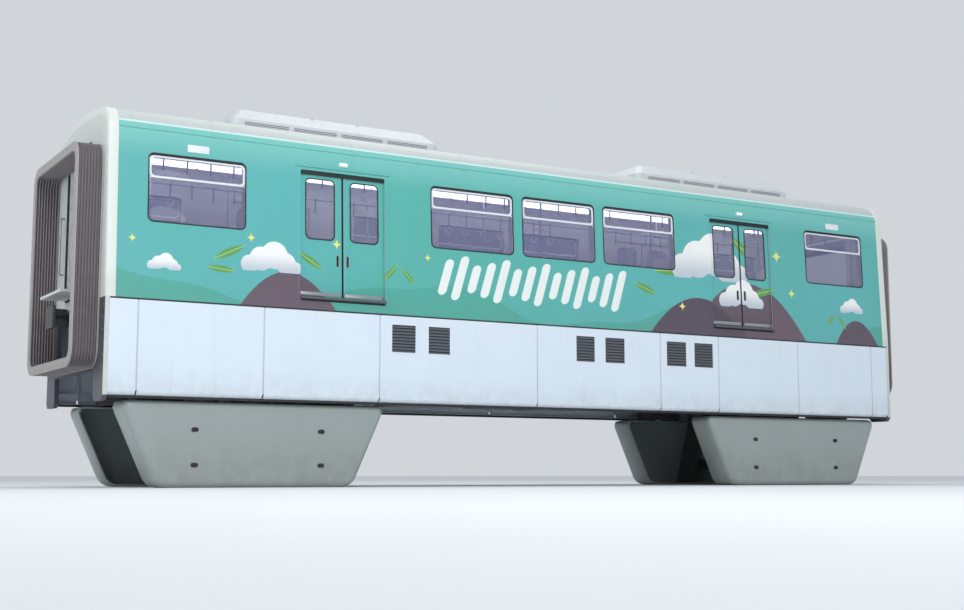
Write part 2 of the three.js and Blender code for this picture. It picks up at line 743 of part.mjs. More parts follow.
function bogieFrame() {
  const rail = shapeOf([
    [-RAIL.half, RAIL.foot + RAIL.rise],
    [-RAIL.flat, RAIL.foot],
    [RAIL.flat, RAIL.foot],
    [RAIL.half, RAIL.foot + RAIL.rise],
    [RAIL.half, FRAME_TOP - RAIL.rise],
    [RAIL.flat, FRAME_TOP],
    [-RAIL.flat, FRAME_TOP],
    [-RAIL.half, FRAME_TOP - RAIL.rise],
  ]);
  const { reach } = TRANSOM;
  const parts = [block(-TRANSOM.half, TRANSOM.half, -reach, reach, TRANSOM.foot, TRANSOM.top)];
  const cuts = [rodZ(boreFor(PIVOT_PIN, 12), TRANSOM.foot - PAST, TRANSOM.top + PAST, 0, 0, 12)];
  for (const side of [-1, 1]) {
    const railY = spread(RAIL.near, RAIL.far, side);
    parts.push(alongY(rail, railY[0], railY[1]));
    const seatY = spread(SPRING_SEAT.near, SPRING_SEAT.far, side);
    parts.push(block(-SPRING_SEAT.half, SPRING_SEAT.half, seatY[0], seatY[1], SPRING_SEAT.foot, FRAME_TOP));
    parts.push(rodZ(SPRING_RADIUS, FRAME_TOP - BITE, BOLSTER_UNDER - FIT, 0, side * SPRING_Y, 14));
    const bridgeY = spread(BRIDGE.near, BRIDGE.far, side);
    parts.push(block(-BRIDGE.half, BRIDGE.half, bridgeY[0], bridgeY[1], BRIDGE.foot, BRIDGE.top));
    cuts.push(rodZ(boreFor(SPINDLE, 8), BRIDGE.foot - PAST, BRIDGE.top + PAST, 0, side * GUIDE_Y, 8));
    const leg = shapeOf([
      [side * ARM.near, LEG.top],
      [side * 600, 560],
      [side * 880, COVER_SHEET + FIT],
      [side * 1250, COVER_SHEET + FIT],
      [side * ARM.far, 1050],
      [side * ARM.far, LEG.top],
    ]);
    const motorY = spread(MOTOR.near, MOTOR.far, side);
    const boreY = spread(RAIL.near - BITE, RAIL.far, side);
    const armY = spread(ARM.near, ARM.far, side);
    for (const end of [-1, 1]) {
      const legX = spread(LEG.near, LEG.far, end);
      parts.push(alongX(leg, legX[0], legX[1]));
      parts.push(rodY(MOTOR.radius, motorY[0], motorY[1], end * AXLE_X, AXLE_Z, 12));
      cuts.push(rodY(boreFor(JOURNAL, 10), boreY[0], boreY[1], end * AXLE_X, AXLE_Z, 10));
      const armX = spread(GUIDE_X - ARM.half, GUIDE_X + ARM.half, end);
      parts.push(block(armX[0], armX[1], armY[0], armY[1], ARM.foot, ARM.top));
      cuts.push(rodZ(boreFor(SPINDLE, 8), ARM.foot - PAST, ARM.top + PAST, end * GUIDE_X, side * GUIDE_Y, 8));
    }
  }
  for (const end of [-1, 1]) {
    const headX = spread(HEAD_STOCK.near, HEAD_STOCK.far, end);
    parts.push(block(headX[0], headX[1], -reach, reach, HEAD_STOCK.foot, HEAD_STOCK.top));
  }
  const whole = cuts.reduce((body, cut) => body.subtract(cut), joined(parts));
  return geometryOf(whole);
}

// Cover: a tub with sloping ends, open above and towards the beam
function bogieCover() {
  const slope = (COVER_TOP_HALF - COVER_FOOT_HALF) / COVER_TOP;
  const over = 60;
  const above = COVER_TOP + over;
  const outline = (sheet) => {
    const topHalf = COVER_TOP_HALF + slope * over - sheet;
    const footHalf = COVER_FOOT_HALF + slope * sheet - sheet;
    const corner = COVER_CORNER - sheet;
    const path = new THREE.Shape();
    path.moveTo(topHalf, above);
    path.lineTo(-topHalf, above);
    path.lineTo(-footHalf - slope * corner, sheet + corner);
    path.quadraticCurveTo(-footHalf, sheet, -footHalf + corner, sheet);
    path.lineTo(footHalf - corner, sheet);
    path.quadraticCurveTo(footHalf, sheet, footHalf + slope * corner, sheet + corner);
    return path;
  };
  const inside = -COVER_IN + 2 * PAST;
  const reach = COVER_TOP_HALF + 2 * PAST;
  let tub = alongY(outline(0), -COVER_OUT, inside, { bevel: 30 });
  tub = tub.subtract(alongY(outline(COVER_SHEET), -COVER_OUT + COVER_SHEET, inside + PAST, { bevel: 18 }));
  tub = tub.subtract(block(-reach, reach, -COVER_OUT - PAST, inside + PAST, COVER_TOP, above + PAST));
  tub = tub.subtract(block(-reach, reach, -COVER_IN, inside + PAST, -PAST, above));
  for (const x of [-895, 895]) {
    for (const z of [290, 750]) {
      tub = tub.subtract(rodY(COVER_HOLE, -COVER_OUT - PAST, -COVER_OUT + PAST, x, z, 12));
    }
  }
  return geometryOf(tub);
}

// A closed profile of radius and height, turned about Z
function turned(profile, segments) {
  const points = profile.map(([radius, height]) => new THREE.Vector2(radius, height));
  const geometry = new THREE.LatheGeometry(points, segments);
  geometry.rotateX(Math.PI / 2);
  return geometryOf(solid(geometry));
}

function runningAxle() {
  const half = [
    [0, 595],
    [JOURNAL, 595],
    [JOURNAL, 410],
    [280, 350],
    [300, 385],
    [465, 385],
    [TYRE_RADIUS, 350],
    [TYRE_RADIUS, 120],
    [465, 85],
    [140, 85],
  ];
  const profile = half.map(([r, y]) => [r, -y]).concat(half.slice().reverse());
  return turned(profile, 18).rotateX(Math.PI / 2);
}

function sideWheel(spindleTop) {
  return turned([
    [0, -80],
    [270, -80],
    [285, -100],
    [345, -100],
    [SIDE_WHEEL_RADIUS, -70],
    [SIDE_WHEEL_RADIUS, 70],
    [345, 100],
    [120, 100],
    [SPINDLE, 130],
    [SPINDLE, spindleTop],
    [0, spindleTop],
  ], 12);
}

const frameGeometry = bogieFrame();
const coverGeometry = bogieCover();
const axleGeometry = runningAxle();
const guideGeometry = sideWheel(640);
const steadyGeometry = sideWheel(360);

for (const { name, x } of [{ name: "front", x: BOGIE_X }, { name: "rear", x: -BOGIE_X }]) {
  const bogie = new THREE.Group();
  bogie.position.x = x;
  car.add(bogie);
  add(`bogie_frame_${name}`, frameGeometry, "frame_grey", bogie);
  add(`bogie_cover_${name}_right`, coverGeometry, "cover_grey", bogie);
  add(`bogie_cover_${name}_left`, coverGeometry, "cover_grey", bogie).rotation.z = Math.PI;
  for (const [place, end] of [["leading", 1], ["trailing", -1]]) {
    const axle = add(`running_axle_${name}_${place}`, axleGeometry, "tyre_black", bogie);
    axle.position.set(end * AXLE_X, 0, AXLE_Z);
    for (const [sideName, side] of [["left", 1], ["right", -1]]) {
      const guide = add(`guide_wheel_${name}_${place}_${sideName}`, guideGeometry, "tyre_black", bogie);
      guide.position.set(end * GUIDE_X, side * GUIDE_Y, GUIDE_Z);
    }
  }
  for (const [sideName, side] of [["left", 1], ["right", -1]]) {
    const steady = add(`stabilising_wheel_${name}_${sideName}`, steadyGeometry, "tyre_black", bogie);
    steady.position.set(0, side * GUIDE_Y, STEADY_Z);
  }
}

export default car;
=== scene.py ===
"""The looks of a straddle-beam monorail car, the middle car of a train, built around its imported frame.

Metres, +Z up, +X to the front end, -Y to the right side. The right side and the front end are drawn, and the
left side and the rear end are the same pieces turned half round.
"""

import logging
import math
from dataclasses import dataclass, replace
from enum import Enum
from functools import cache, reduce
from typing import Callable, Sequence

import bpy
import numpy as np
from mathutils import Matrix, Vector


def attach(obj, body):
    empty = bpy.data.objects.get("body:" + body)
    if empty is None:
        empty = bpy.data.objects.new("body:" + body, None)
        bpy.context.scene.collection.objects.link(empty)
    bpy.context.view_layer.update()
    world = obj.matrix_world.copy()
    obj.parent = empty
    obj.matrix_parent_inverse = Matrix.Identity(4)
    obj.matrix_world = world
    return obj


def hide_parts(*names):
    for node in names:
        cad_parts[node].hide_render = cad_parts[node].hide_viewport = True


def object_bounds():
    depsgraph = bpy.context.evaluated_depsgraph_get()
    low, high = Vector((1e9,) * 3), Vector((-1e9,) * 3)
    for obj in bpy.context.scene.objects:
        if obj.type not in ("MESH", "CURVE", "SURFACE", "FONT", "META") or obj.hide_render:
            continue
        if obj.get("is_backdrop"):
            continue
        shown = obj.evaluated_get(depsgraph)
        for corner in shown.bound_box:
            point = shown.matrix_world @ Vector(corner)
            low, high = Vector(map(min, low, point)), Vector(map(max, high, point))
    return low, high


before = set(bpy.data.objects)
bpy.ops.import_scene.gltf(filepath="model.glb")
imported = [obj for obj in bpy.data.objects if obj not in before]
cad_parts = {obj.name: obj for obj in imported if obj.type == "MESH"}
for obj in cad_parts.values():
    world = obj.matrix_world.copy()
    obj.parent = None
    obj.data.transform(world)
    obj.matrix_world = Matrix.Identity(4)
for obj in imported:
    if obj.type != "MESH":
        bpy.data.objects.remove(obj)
log = logging.getLogger("monorail_car")

Array = np.ndarray
Numbers = Sequence[float] | Array
Rows = Sequence[Numbers] | Array
Rule = Callable[[Array], Array]
Tint = tuple[int, int, int]
Inputs = dict[str | int, object]
Node, Tree, Socket = bpy.types.Node, bpy.types.NodeTree, bpy.types.NodeSocket
Material, Thing = bpy.types.Material, bpy.types.Object

CAR = "car_body"
FULL = 2 * math.pi
QUARTER = math.pi / 2
DOOR_X = 3.633


# Surfaces worked out as arrays


@dataclass(frozen=True)
class Surface:
    """Points and faces of one shape; each array of faces holds rows of point numbers."""

    points: Array
    faces: tuple[Array, ...]

    def outward(self) -> "Surface":
        """Turns all faces round where they face inwards.

        The signed volume is the sum of a . (b x c) over the triangles that fan out in each face, about the
        shape's middle. Where it is below zero, every face is turned round.

        Returns:
            The shape with a volume above zero.
        """
        middle = (self.points.max(0) + self.points.min(0)) / 2
        blocks = [(self.points - middle)[face] for face in self.faces]
        fans = [np.einsum("ij,ikj->", b[:, 0], np.cross(b[:, 1:-1], b[:, 2:])) for b in blocks]
        return self if sum(fans) > 0 else Surface(self.points, tuple(face[:, ::-1] for face in self.faces))

    def mapped(self, rule: Rule) -> "Surface":
        """The same faces with their points moved by the rule."""
        return Surface(rule(self.points), self.faces).outward()

    def moved(self, *offset: float) -> "Surface":
        """The same shape moved by the offset."""
        return Surface(self.points + np.array(offset), self.faces)

    def scaled(self, *factors: float) -> "Surface":
        """The same shape stretched along each axis."""
        return Surface(self.points * np.array(factors), self.faces).outward()

    def paired(self) -> "Surface":
        """The shape and its mirror image across the car's middle."""
        return joined([self, self.scaled(1, -1, 1)])

    def copied(self, offsets: Rows) -> "Surface":
        """Copies of the shape.

        Args:
            offsets: one row of three numbers for each copy.

        Returns:
            All the copies as one surface.
        """
        shifts = np.asarray(offsets, float).reshape(-1, 3)
        points = (self.points[None] + shifts[:, None]).reshape(-1, 3)
        starts = (np.arange(len(shifts)) * len(self.points))[:, None, None]
        return Surface(points, tuple((f[None] + starts).reshape(-1, f.shape[1]) for f in self.faces))

    def at(self, u: object = 0.0, v: object = 0.0, w: object = 0.0) -> "Surface":
        """A copy of the shape for every combination of the offsets u, v and w."""
        return self.copied(spots(u, v, w))


def joined(surfaces: Sequence[Surface]) -> Surface:
    """Holds several surfaces in one.

    Args:
        surfaces: the surfaces.

    Returns:
        One surface with all their points and faces.
    """
    starts = np.cumsum([0] + [len(s.points) for s in surfaces[:-1]])
    faces = tuple(f + start for s, start in zip(surfaces, starts) for f in s.faces)
    return Surface(np.concatenate([s.points for s in surfaces]), faces)


def spots(u: object = 0.0, v: object = 0.0, w: object = 0.0) -> Array:
    """Every combination of the values u, v and w, as rows."""
    return np.stack(np.meshgrid(*map(np.atleast_1d, (u, v, w)), indexing="ij"), -1).reshape(-1, 3)


def lifted(outlines: Array, heights: Numbers) -> Array:
    """Flat outlines, shape (rows, points, 2), each at its own height as a third number."""
    level = np.asarray(heights, float)[:, None, None]
    return np.concatenate([outlines, np.broadcast_to(level, outlines.shape[:2] + (1,))], -1)


def doubled(half: Rows, flip: Numbers = (1, -1), between: Rows = ()) -> Array:
    """Half a line, the rows between, and the half's mirror image in the opposite order."""
    line = np.asarray(half, float)
    return np.concatenate([line, np.reshape(between, (-1, line.shape[1])), (line * np.array(flip))[::-1]])


def arc(u: float, v: float, radius: float, start: float, stop: float, count: int) -> Array:
    """Points of a circle's arc: its centre plus the radius times (cos, sin)."""
    angle = np.linspace(start, stop, count)
    return np.stack([u + radius * np.cos(angle), v + radius * np.sin(angle)], -1)


def notches(places: Numbers, reach: float, depth: float) -> tuple[Array, Array]:
    """Grooves 10 mm wide across a line, which slant down from the reach on each side of their middles."""
    marks = np.add.outer(places, [-reach, -0.005, 0.005, reach]).ravel()
    return marks, np.tile([0.0, depth, depth, 0.0], len(places))


def grid_faces(rows: int, cols: int, close_rows: bool = False, close_cols: bool = False) -> Array:
    """Quads between neighbouring points of a grid.

    Args:
        rows: number of rows of points.
        cols: number of points in a row.
        close_rows: joins the last row to the first.
        close_cols: joins the last point of each row to its first.

    Returns:
        An array of quads, four point numbers each.
    """
    r = np.arange(rows if close_rows else rows - 1)[:, None]
    c = np.arange(cols if close_cols else cols - 1)[None]
    below, beside = (r + 1) % rows, (c + 1) % cols
    corners = [r * cols + c, r * cols + beside, below * cols + beside, below * cols + c]
    return np.stack(np.broadcast_arrays(*corners), -1).reshape(-1, 4)


def lofted(loops: Array, open_start: bool = False) -> Surface:
    """A solid through closed loops, one after another, with its ends capped.

    Args:
        loops: points as rows of loops, shape (loops, points, 3).
        open_start: leaves the first loop without a cap.

    Returns:
        The surface.
    """
    rows, cols = loops.shape[:2]
    last = np.arange(cols)[None] + (rows - 1) * cols
    faces = (grid_faces(rows, cols, close_cols=True), last, np.arange(cols)[::-1][None])
    return Surface(loops.reshape(-1, 3), faces[: 2 if open_start else 3]).outward()


def looped(loops: Array) -> Surface:
    """A ring-shaped solid through closed loops, the last joined to the first."""
    return Surface(loops.reshape(-1, 3), (grid_faces(*loops.shape[:2], True, True),)).outward()


def rounded(width: object, height: object, radius: object, steps: int = 5) -> Array:
    """Outline of a rectangle with round corners about its middle.

    Each corner is a quarter circle: its centre plus the radius times (cos, sin). Arrays give many outlines.

    Args:
        width: size across.
        height: size up.
        radius: corner radius.
        steps: steps in each corner.

    Returns:
        Points of shape (..., 4 * (steps + 1), 2), anticlockwise.
    """
    sizes = np.broadcast_arrays(width, height, radius)
    width, height, radius = (np.asarray(size, float)[..., None] for size in sizes)
    angle = (np.arange(4)[:, None] * QUARTER + np.linspace(0, QUARTER, steps + 1)[None]).ravel()
    sign_u, sign_v = np.repeat([[1, -1, -1, 1], [1, 1, -1, -1]], steps + 1, axis=1)
    u = sign_u * (width / 2 - radius) + radius * np.cos(angle)
    v = sign_v * (height / 2 - radius) + radius * np.sin(angle)
    return np.stack([u, v], -1)


def evenly(line: Array, count: int) -> Array:
    """Places a closed line's points anew, at even steps of its length.

    Args:
        line: the points, without the first again at the end.
        count: how many points to place.

    Returns:
        The new points.
    """
    closed = np.concatenate([line, line[:1]])
    run = np.concatenate([[0], np.cumsum(np.linalg.norm(np.diff(closed, axis=0), axis=1))])
    at = np.linspace(0, run[-1], count, endpoint=False)
    return np.stack([np.interp(at, run, column) for column in closed.T], -1)


def edge_rows(depth: float, edge: float) -> tuple[Array, Array]:
    """How far each row of a slab's rim is set in, and how high it lies: an arc, a straight and an arc.

    Args:
        depth: the slab's thickness.
        edge: the radius of its long edges.

    Returns:
        Insets and heights, from the back to the front.
    """
    turn = np.linspace(0, QUARTER, 3)
    inset, height = edge * (1 - np.sin(turn)), edge * (1 - np.cos(turn))
    return np.concatenate([inset, inset[::-1]]), np.concatenate([height, depth - height[::-1]])


def slab(
    width: float, height: float, depth: float, radius: float, edge: float = 0.003, steps: int = 4
) -> Surface:
    """A plate with round corners and softened edges, drawn in u and v and rising along w from 0.

    Args:
        width: size along u.
        height: size along v.
        depth: size along w.
        radius: corner radius of the outline.
        edge: radius of the long edges.
        steps: steps in each corner.

    Returns:
        The closed surface about the plate's middle.
    """
    edge = min(edge, depth / 2.01)
    inset, rise = edge_rows(depth, edge)
    outline = rounded(width - 2 * inset, height - 2 * inset, max(radius, edge * 1.05) - inset, steps)
    return lofted(lifted(outline, rise))


def brick(low: Numbers, high: Numbers, edge: float = 0.003) -> Surface:
    """A box between two corners with softened edges."""
    size, middle = np.subtract(high, low), np.add(high, low) / 2
    return slab(*size, edge, edge, 1).moved(middle[0], middle[1], low[2])


def ring_slab(outer: Numbers, inner: Numbers, depth: float, edge: float, shift: float = 0.0) -> Surface:
    """A plate with a hole, both with round corners, drawn in u and v and rising along w.

    Args:
        outer: width, height and corner radius of the outline.
        inner: width, height and corner radius of the hole.
        depth: thickness.
        edge: radius of the long edges.
        shift: height of the hole's middle over the plate's.

    Returns:
        The closed surface.
    """
    inset, rise = edge_rows(depth, edge)
    outside = rounded(outer[0] - 2 * inset, outer[1] - 2 * inset, outer[2] - inset * 0.9, 6)
    inset = inset[::-1]
    hole = rounded(inner[0] + 2 * inset, inner[1] + 2 * inset, inner[2] + inset, 6) + np.array([0, shift])
    return looped(lifted(np.concatenate([outside, hole]), np.concatenate([rise, rise[::-1]])))


def border(size: Numbers, out: float, into: float, depth: float, edge: float = 0.003) -> Surface:
    """A flat frame round a hole of a width, height and corner radius, reaching out beyond it and into it."""
    outer, inner = ([size[0] + 2 * d, size[1] + 2 * d, size[2] + d] for d in (out, -into))
    return ring_slab(outer, inner, depth, edge)


def spun(profile: Rows, segments: int) -> Array:
    """Loops of a solid of revolution about w: each profile row, a radius and a height, carried round."""
    rows, angle = np.asarray(profile, float), np.linspace(0, FULL, segments, endpoint=False)
    return lifted(np.stack([np.cos(angle), np.sin(angle)], -1) * rows[:, :1, None], rows[:, 1])


def turned(profile: Rows, segments: int) -> Surface:
    """A solid of revolution about w, capped flat at both ends."""
    return lofted(spun(profile, segments))


def hoop(profile: Rows, segments: int) -> Surface:
    """A ring of revolution about w, its section closed on itself."""
    return looped(spun(profile, segments))


def washer(inner: float, outer: float, low: float, high: float, segments: int) -> Surface:
    """A flat ring between two radii and two heights."""
    return hoop([(inner, low), (outer, low), (outer, high), (inner, high)], segments)


def tube(path: Rows, radius: float, sides: int = 10) -> Surface:
    """A round bar along a path that lies in a plane.

    At each point the circle lies across the path's direction, on two unit vectors square to it.

    Args:
        path: points along the middle.
        radius: the bar's radius.
        sides: number of sides.

    Returns:
        The closed surface.
    """
    line = np.asarray(path, float)
    along = np.gradient(line, axis=0)
    along /= np.linalg.norm(along, axis=1, keepdims=True)
    across = np.cross(along, np.eye(3)[int(np.argmin(np.ptp(line, axis=0)))])
    across /= np.maximum(np.linalg.norm(across, axis=1, keepdims=True), 1e-9)
    angle = np.linspace(0, FULL, sides, endpoint=False)[None, :, None]
    ring = across[:, None] * np.cos(angle) + np.cross(along, across)[:, None] * np.sin(angle)
    return lofted(line[:, None] + radius * ring)


def bent(corners: Rows, radius: float, steps: int = 6) -> Array:
    """A path through corners, each rounded by a quadratic curve that starts a radius before it.

    Args:
        corners: the corner points in order.
        radius: how far from each corner the curve starts and ends.
        steps: steps in each curve.

    Returns:
        The path's points.
    """
    points = np.asarray(corners, float)
    runs = np.diff(points, axis=0)
    unit = runs / np.linalg.norm(runs, axis=1, keepdims=True)
    middle = points[1:-1]
    start, stop = middle - radius * unit[:-1], middle + radius * unit[1:]
    t = np.linspace(0, 1, steps + 1)[None, :, None]
    curve = (1 - t) ** 2 * start[:, None] + 2 * t * (1 - t) * middle[:, None] + t**2 * stop[:, None]
    return np.concatenate([points[:1], curve.reshape(-1, points.shape[1]), points[-1:]])


def prism(outline: Rows, start: float, stop: float, edge: float = 0.0) -> Surface:
    """A solid with the same outline all along w.

    Args:
        outline: points in u and v, anticlockwise.
        start: w of the first end.
        stop: w of the last end.
        edge: how far the end rims are set in towards the outline's middle.

    Returns:
        The closed surface.
    """
    shape = np.asarray(outline, float)
    if not edge:
        return lofted(lifted(np.stack([shape, shape]), [start, stop]))
    middle = (shape.max(0) + shape.min(0)) / 2
    small = middle + (shape - middle) * (1 - edge / (shape.max(0) - middle))
    return lofted(lifted(np.stack([small, shape, shape, small]), [start, start + edge, stop - edge, stop]))


def pierced(width: Array, height: Array, solid: Array, depth: float) -> Surface:
    """A flat plate made of the solid cells of a grid, with walls round its holes.

    The front and back faces are the solid cells, and a wall stands between each solid cell and an empty one.

    Args:
        width: the grid lines along u, rising.
        height: the grid lines along v, rising.
        solid: which cells are solid, shape (len(height) - 1, len(width) - 1).
        depth: thickness along w.

    Returns:
        The closed surface.
    """
    flat = np.stack([*np.meshgrid(width, height), np.zeros((len(height), len(width)))], -1).reshape(-1, 3)
    quads, top = grid_faces(len(height), len(width)), len(flat)
    padded = np.pad(solid, 1)
    walls = []
    for side, (rows_off, cols_off) in enumerate(((-1, 0), (0, 1), (1, 0), (0, -1))):
        beside = np.roll(padded, (-rows_off, -cols_off), (0, 1))[1:-1, 1:-1]
        a, b = quads[(solid & ~beside).ravel()][:, [side, (side + 1) % 4]].T
        walls.append(np.stack([a, b, b + top, a + top], -1))
    cell = quads[solid.ravel()]
    used, again = np.unique(np.concatenate([cell[:, ::-1], cell + top, *walls]), return_inverse=True)
    points = np.concatenate([flat, flat + np.array([0, 0, depth])])
    return Surface(points[used], (again.reshape(-1, 4),)).outward()


def domes(places: Rows, radius: float, height: float, segments: int = 8) -> Surface:
    """Low round heads, such as bolts and rivets, standing along w at each place."""
    shares = np.array([(1, 0), (1, 0.45), (0.72, 0.9), (0.3, 1)])
    return turned(shares * (radius, height), segments).copied(places)


def spanned(spans: Rows, build: Callable[[float], Surface], v: float, w: float) -> Surface:
    """A shape at the middle of each span along u, built for its width and put at v and w."""
    return joined([build(stop - start).moved((start + stop) / 2, v, w) for start, stop in spans])


def on_circle(radius: float, count: int, w: float = 0.0) -> Array:
    """Evenly spaced places on a circle about w."""
    return spun([(radius, w)], count)[0]


# Where drawn shapes go on the car


def axes(u: Numbers, v: Numbers, w: Numbers, origin: Numbers = (0, 0, 0)) -> Rule:
    """A rule that lays the drawing's axes along three given directions from an origin."""
    matrix, start = np.array([u, v, w], float), np.array(origin, float)
    return lambda points: points @ matrix + start


ACROSS = axes((0, 1, 0), (0, 0, 1), (1, 0, 0))
UPRIGHT = axes((1, 0, 0), (0, 0, 1), (0, 1, 0))
RING_WISE = axes((0, 0, 1), (0, 1, 0), (1, 0, 0))


@dataclass(frozen=True)
class Section:
    """Leaning walls, round shoulders and a flat crown arc, and the shell's length."""

    half_width: float = 1.45
    wall: float = 0.105
    foot: float = 2.42
    top: float = 4.62
    lean: float = 0.085 / 2.2
    shoulder: float = 0.35
    turn: float = math.radians(80)
    ceiling: float = 4.79
    floor: float = 2.59
    ring_start: float = 6.8197
    end_face: float = 6.95

    @property
    def shoulder_y(self) -> float:
        """The shoulder arc's centre, from the car's middle."""
        return self.half_width - self.lean * (self.top - self.foot) - self.shoulder

    @property
    def crown(self) -> tuple[float, float]:
        """The crown arc's radius and its centre's height, so that it meets the shoulder arcs smoothly."""
        radius = (self.shoulder_y + self.shoulder * math.cos(self.turn)) / math.cos(self.turn)
        return radius, self.top + (self.shoulder - radius) * math.sin(self.turn)

    def roof_line(self, steps: int = 14) -> tuple[Array, Array]:
        """The roof's line in Y and Z from the left wall's top over the crown to the right wall's top.

        Each arc is its centre plus its radius times (cos, sin) of an angle that runs from 0 to half a turn.

        Args:
            steps: steps in each of the three arcs.

        Returns:
            The points and their outward directions.
        """
        radius, centre = self.crown
        left = np.linspace(0, self.turn, steps + 1)
        top = np.linspace(self.turn, math.pi - self.turn, steps + 1)[1:-1]
        angle = np.concatenate([left, top, math.pi - left[::-1]])
        middles = [[self.shoulder_y, 0, -self.shoulder_y], [self.top, centre, self.top]]
        arcs = [*middles, [self.shoulder, radius, self.shoulder]]
        y, z, reach = np.repeat(arcs, (len(left), len(top), len(left)), axis=1)
        out = np.stack([np.cos(angle), np.sin(angle)], -1)
        return np.stack([y, z], -1) + out * reach[:, None], out

    def arch(self) -> tuple[Array, Array]:
        """The whole outer line: up the left wall, over the roof and down the right wall.

        Returns:
            The points and their outward directions.
        """
        points, out = self.roof_line()
        height = np.linspace(self.foot, self.top, 9)[:-1]
        wall = np.stack([self.half_width - self.lean * (height - self.foot), height], -1)
        away = np.broadcast_to(np.array([1.0, self.lean]) / math.hypot(1, self.lean), wall.shape)
        return doubled(wall, (-1, 1), points), doubled(away, (-1, 1), out)

    def crown_height(self, y: Array) -> Array:
        """The crown's height at y: the centre's, plus the root of the radius squared less y squared."""
        radius, centre = self.crown
        return centre + np.sqrt(radius**2 - y**2)


BODY = Section()


class Way(Enum):
    """One of two opposite directions; pieces are drawn for the first."""

    @property
    def word(self) -> str:
        """The direction's word in the names of pieces."""
        return self.name.lower()

    def turn(self, points: Array) -> Array:
        """Leaves points drawn in place where they are, or turns them half round for the second direction."""
        return points * np.array([self.value, self.value, 1.0])


class Side(Way):
    """The two long sides."""

    RIGHT = 1
    LEFT = -1

    def upright(self, points: Array) -> Array:
        """Places what is drawn along X and Z, with the distance from the car's middle third."""
        u, v, w = points.T
        return self.turn(np.stack([u, -w, v], -1))

    def leaning(self, points: Array) -> Array:
        """The same on the wall: w is the distance at its foot, less the lean for each metre of height."""
        return self.upright(points - np.outer((points[:, 1] - BODY.foot) * BODY.lean, [0, 0, 1]))


class End(Way):
    """The two ends."""

    FRONT = 1
    REAR = -1

    def facing(self, points: Array) -> Array:
        """Places what is drawn in Y and Z and rises towards the end."""
        return self.turn(ACROSS(points))


def on_roof(points: Array) -> Array:
    """Lays shapes drawn along X and Y with their height above the crown third on the roof's curve."""
    return points + np.outer(BODY.crown_height(points[:, 1]), [0, 0, 1])


def along_car(outline: Rows, start: float, stop: float, edge: float = 0.0) -> Surface:
    """A bar along X whose outline is drawn in Y and Z."""
    return prism(outline, start, stop, edge).mapped(ACROSS)


# Shaders


def operator(kind: str, swapped: bool = False) -> Callable[["Value", object], "Value"]:
    """Arithmetic on a value: a function that adds a Math node.

    Args:
        kind: the node's operation.
        swapped: whether the other number comes first.

    Returns:
        The function, of a value and the other number.
    """

    def apply(value: "Value", other: object) -> "Value":
        """The node's result."""
        return value.sketch.math(kind, *((other, value) if swapped else (value, other)))

    return apply


@dataclass(frozen=True)
class Value:
    """A number, colour or place inside a shader."""

    sketch: "Sketch"
    socket: Socket

    __add__, __sub__, __mul__, __truediv__ = map(operator, ("ADD", "SUBTRACT", "MULTIPLY", "DIVIDE"))
    __rsub__ = operator("SUBTRACT", swapped=True)


def from_srgb(red: int, green: int, blue: int) -> tuple[float, float, float, float]:
    """A scene-linear colour from the eight-bit values that a screen shows."""
    screen = np.array([red, green, blue]) / 255
    return (*np.where(screen <= 0.04045, screen / 12.92, ((screen + 0.055) / 1.055) ** 2.4).tolist(), 1.0)


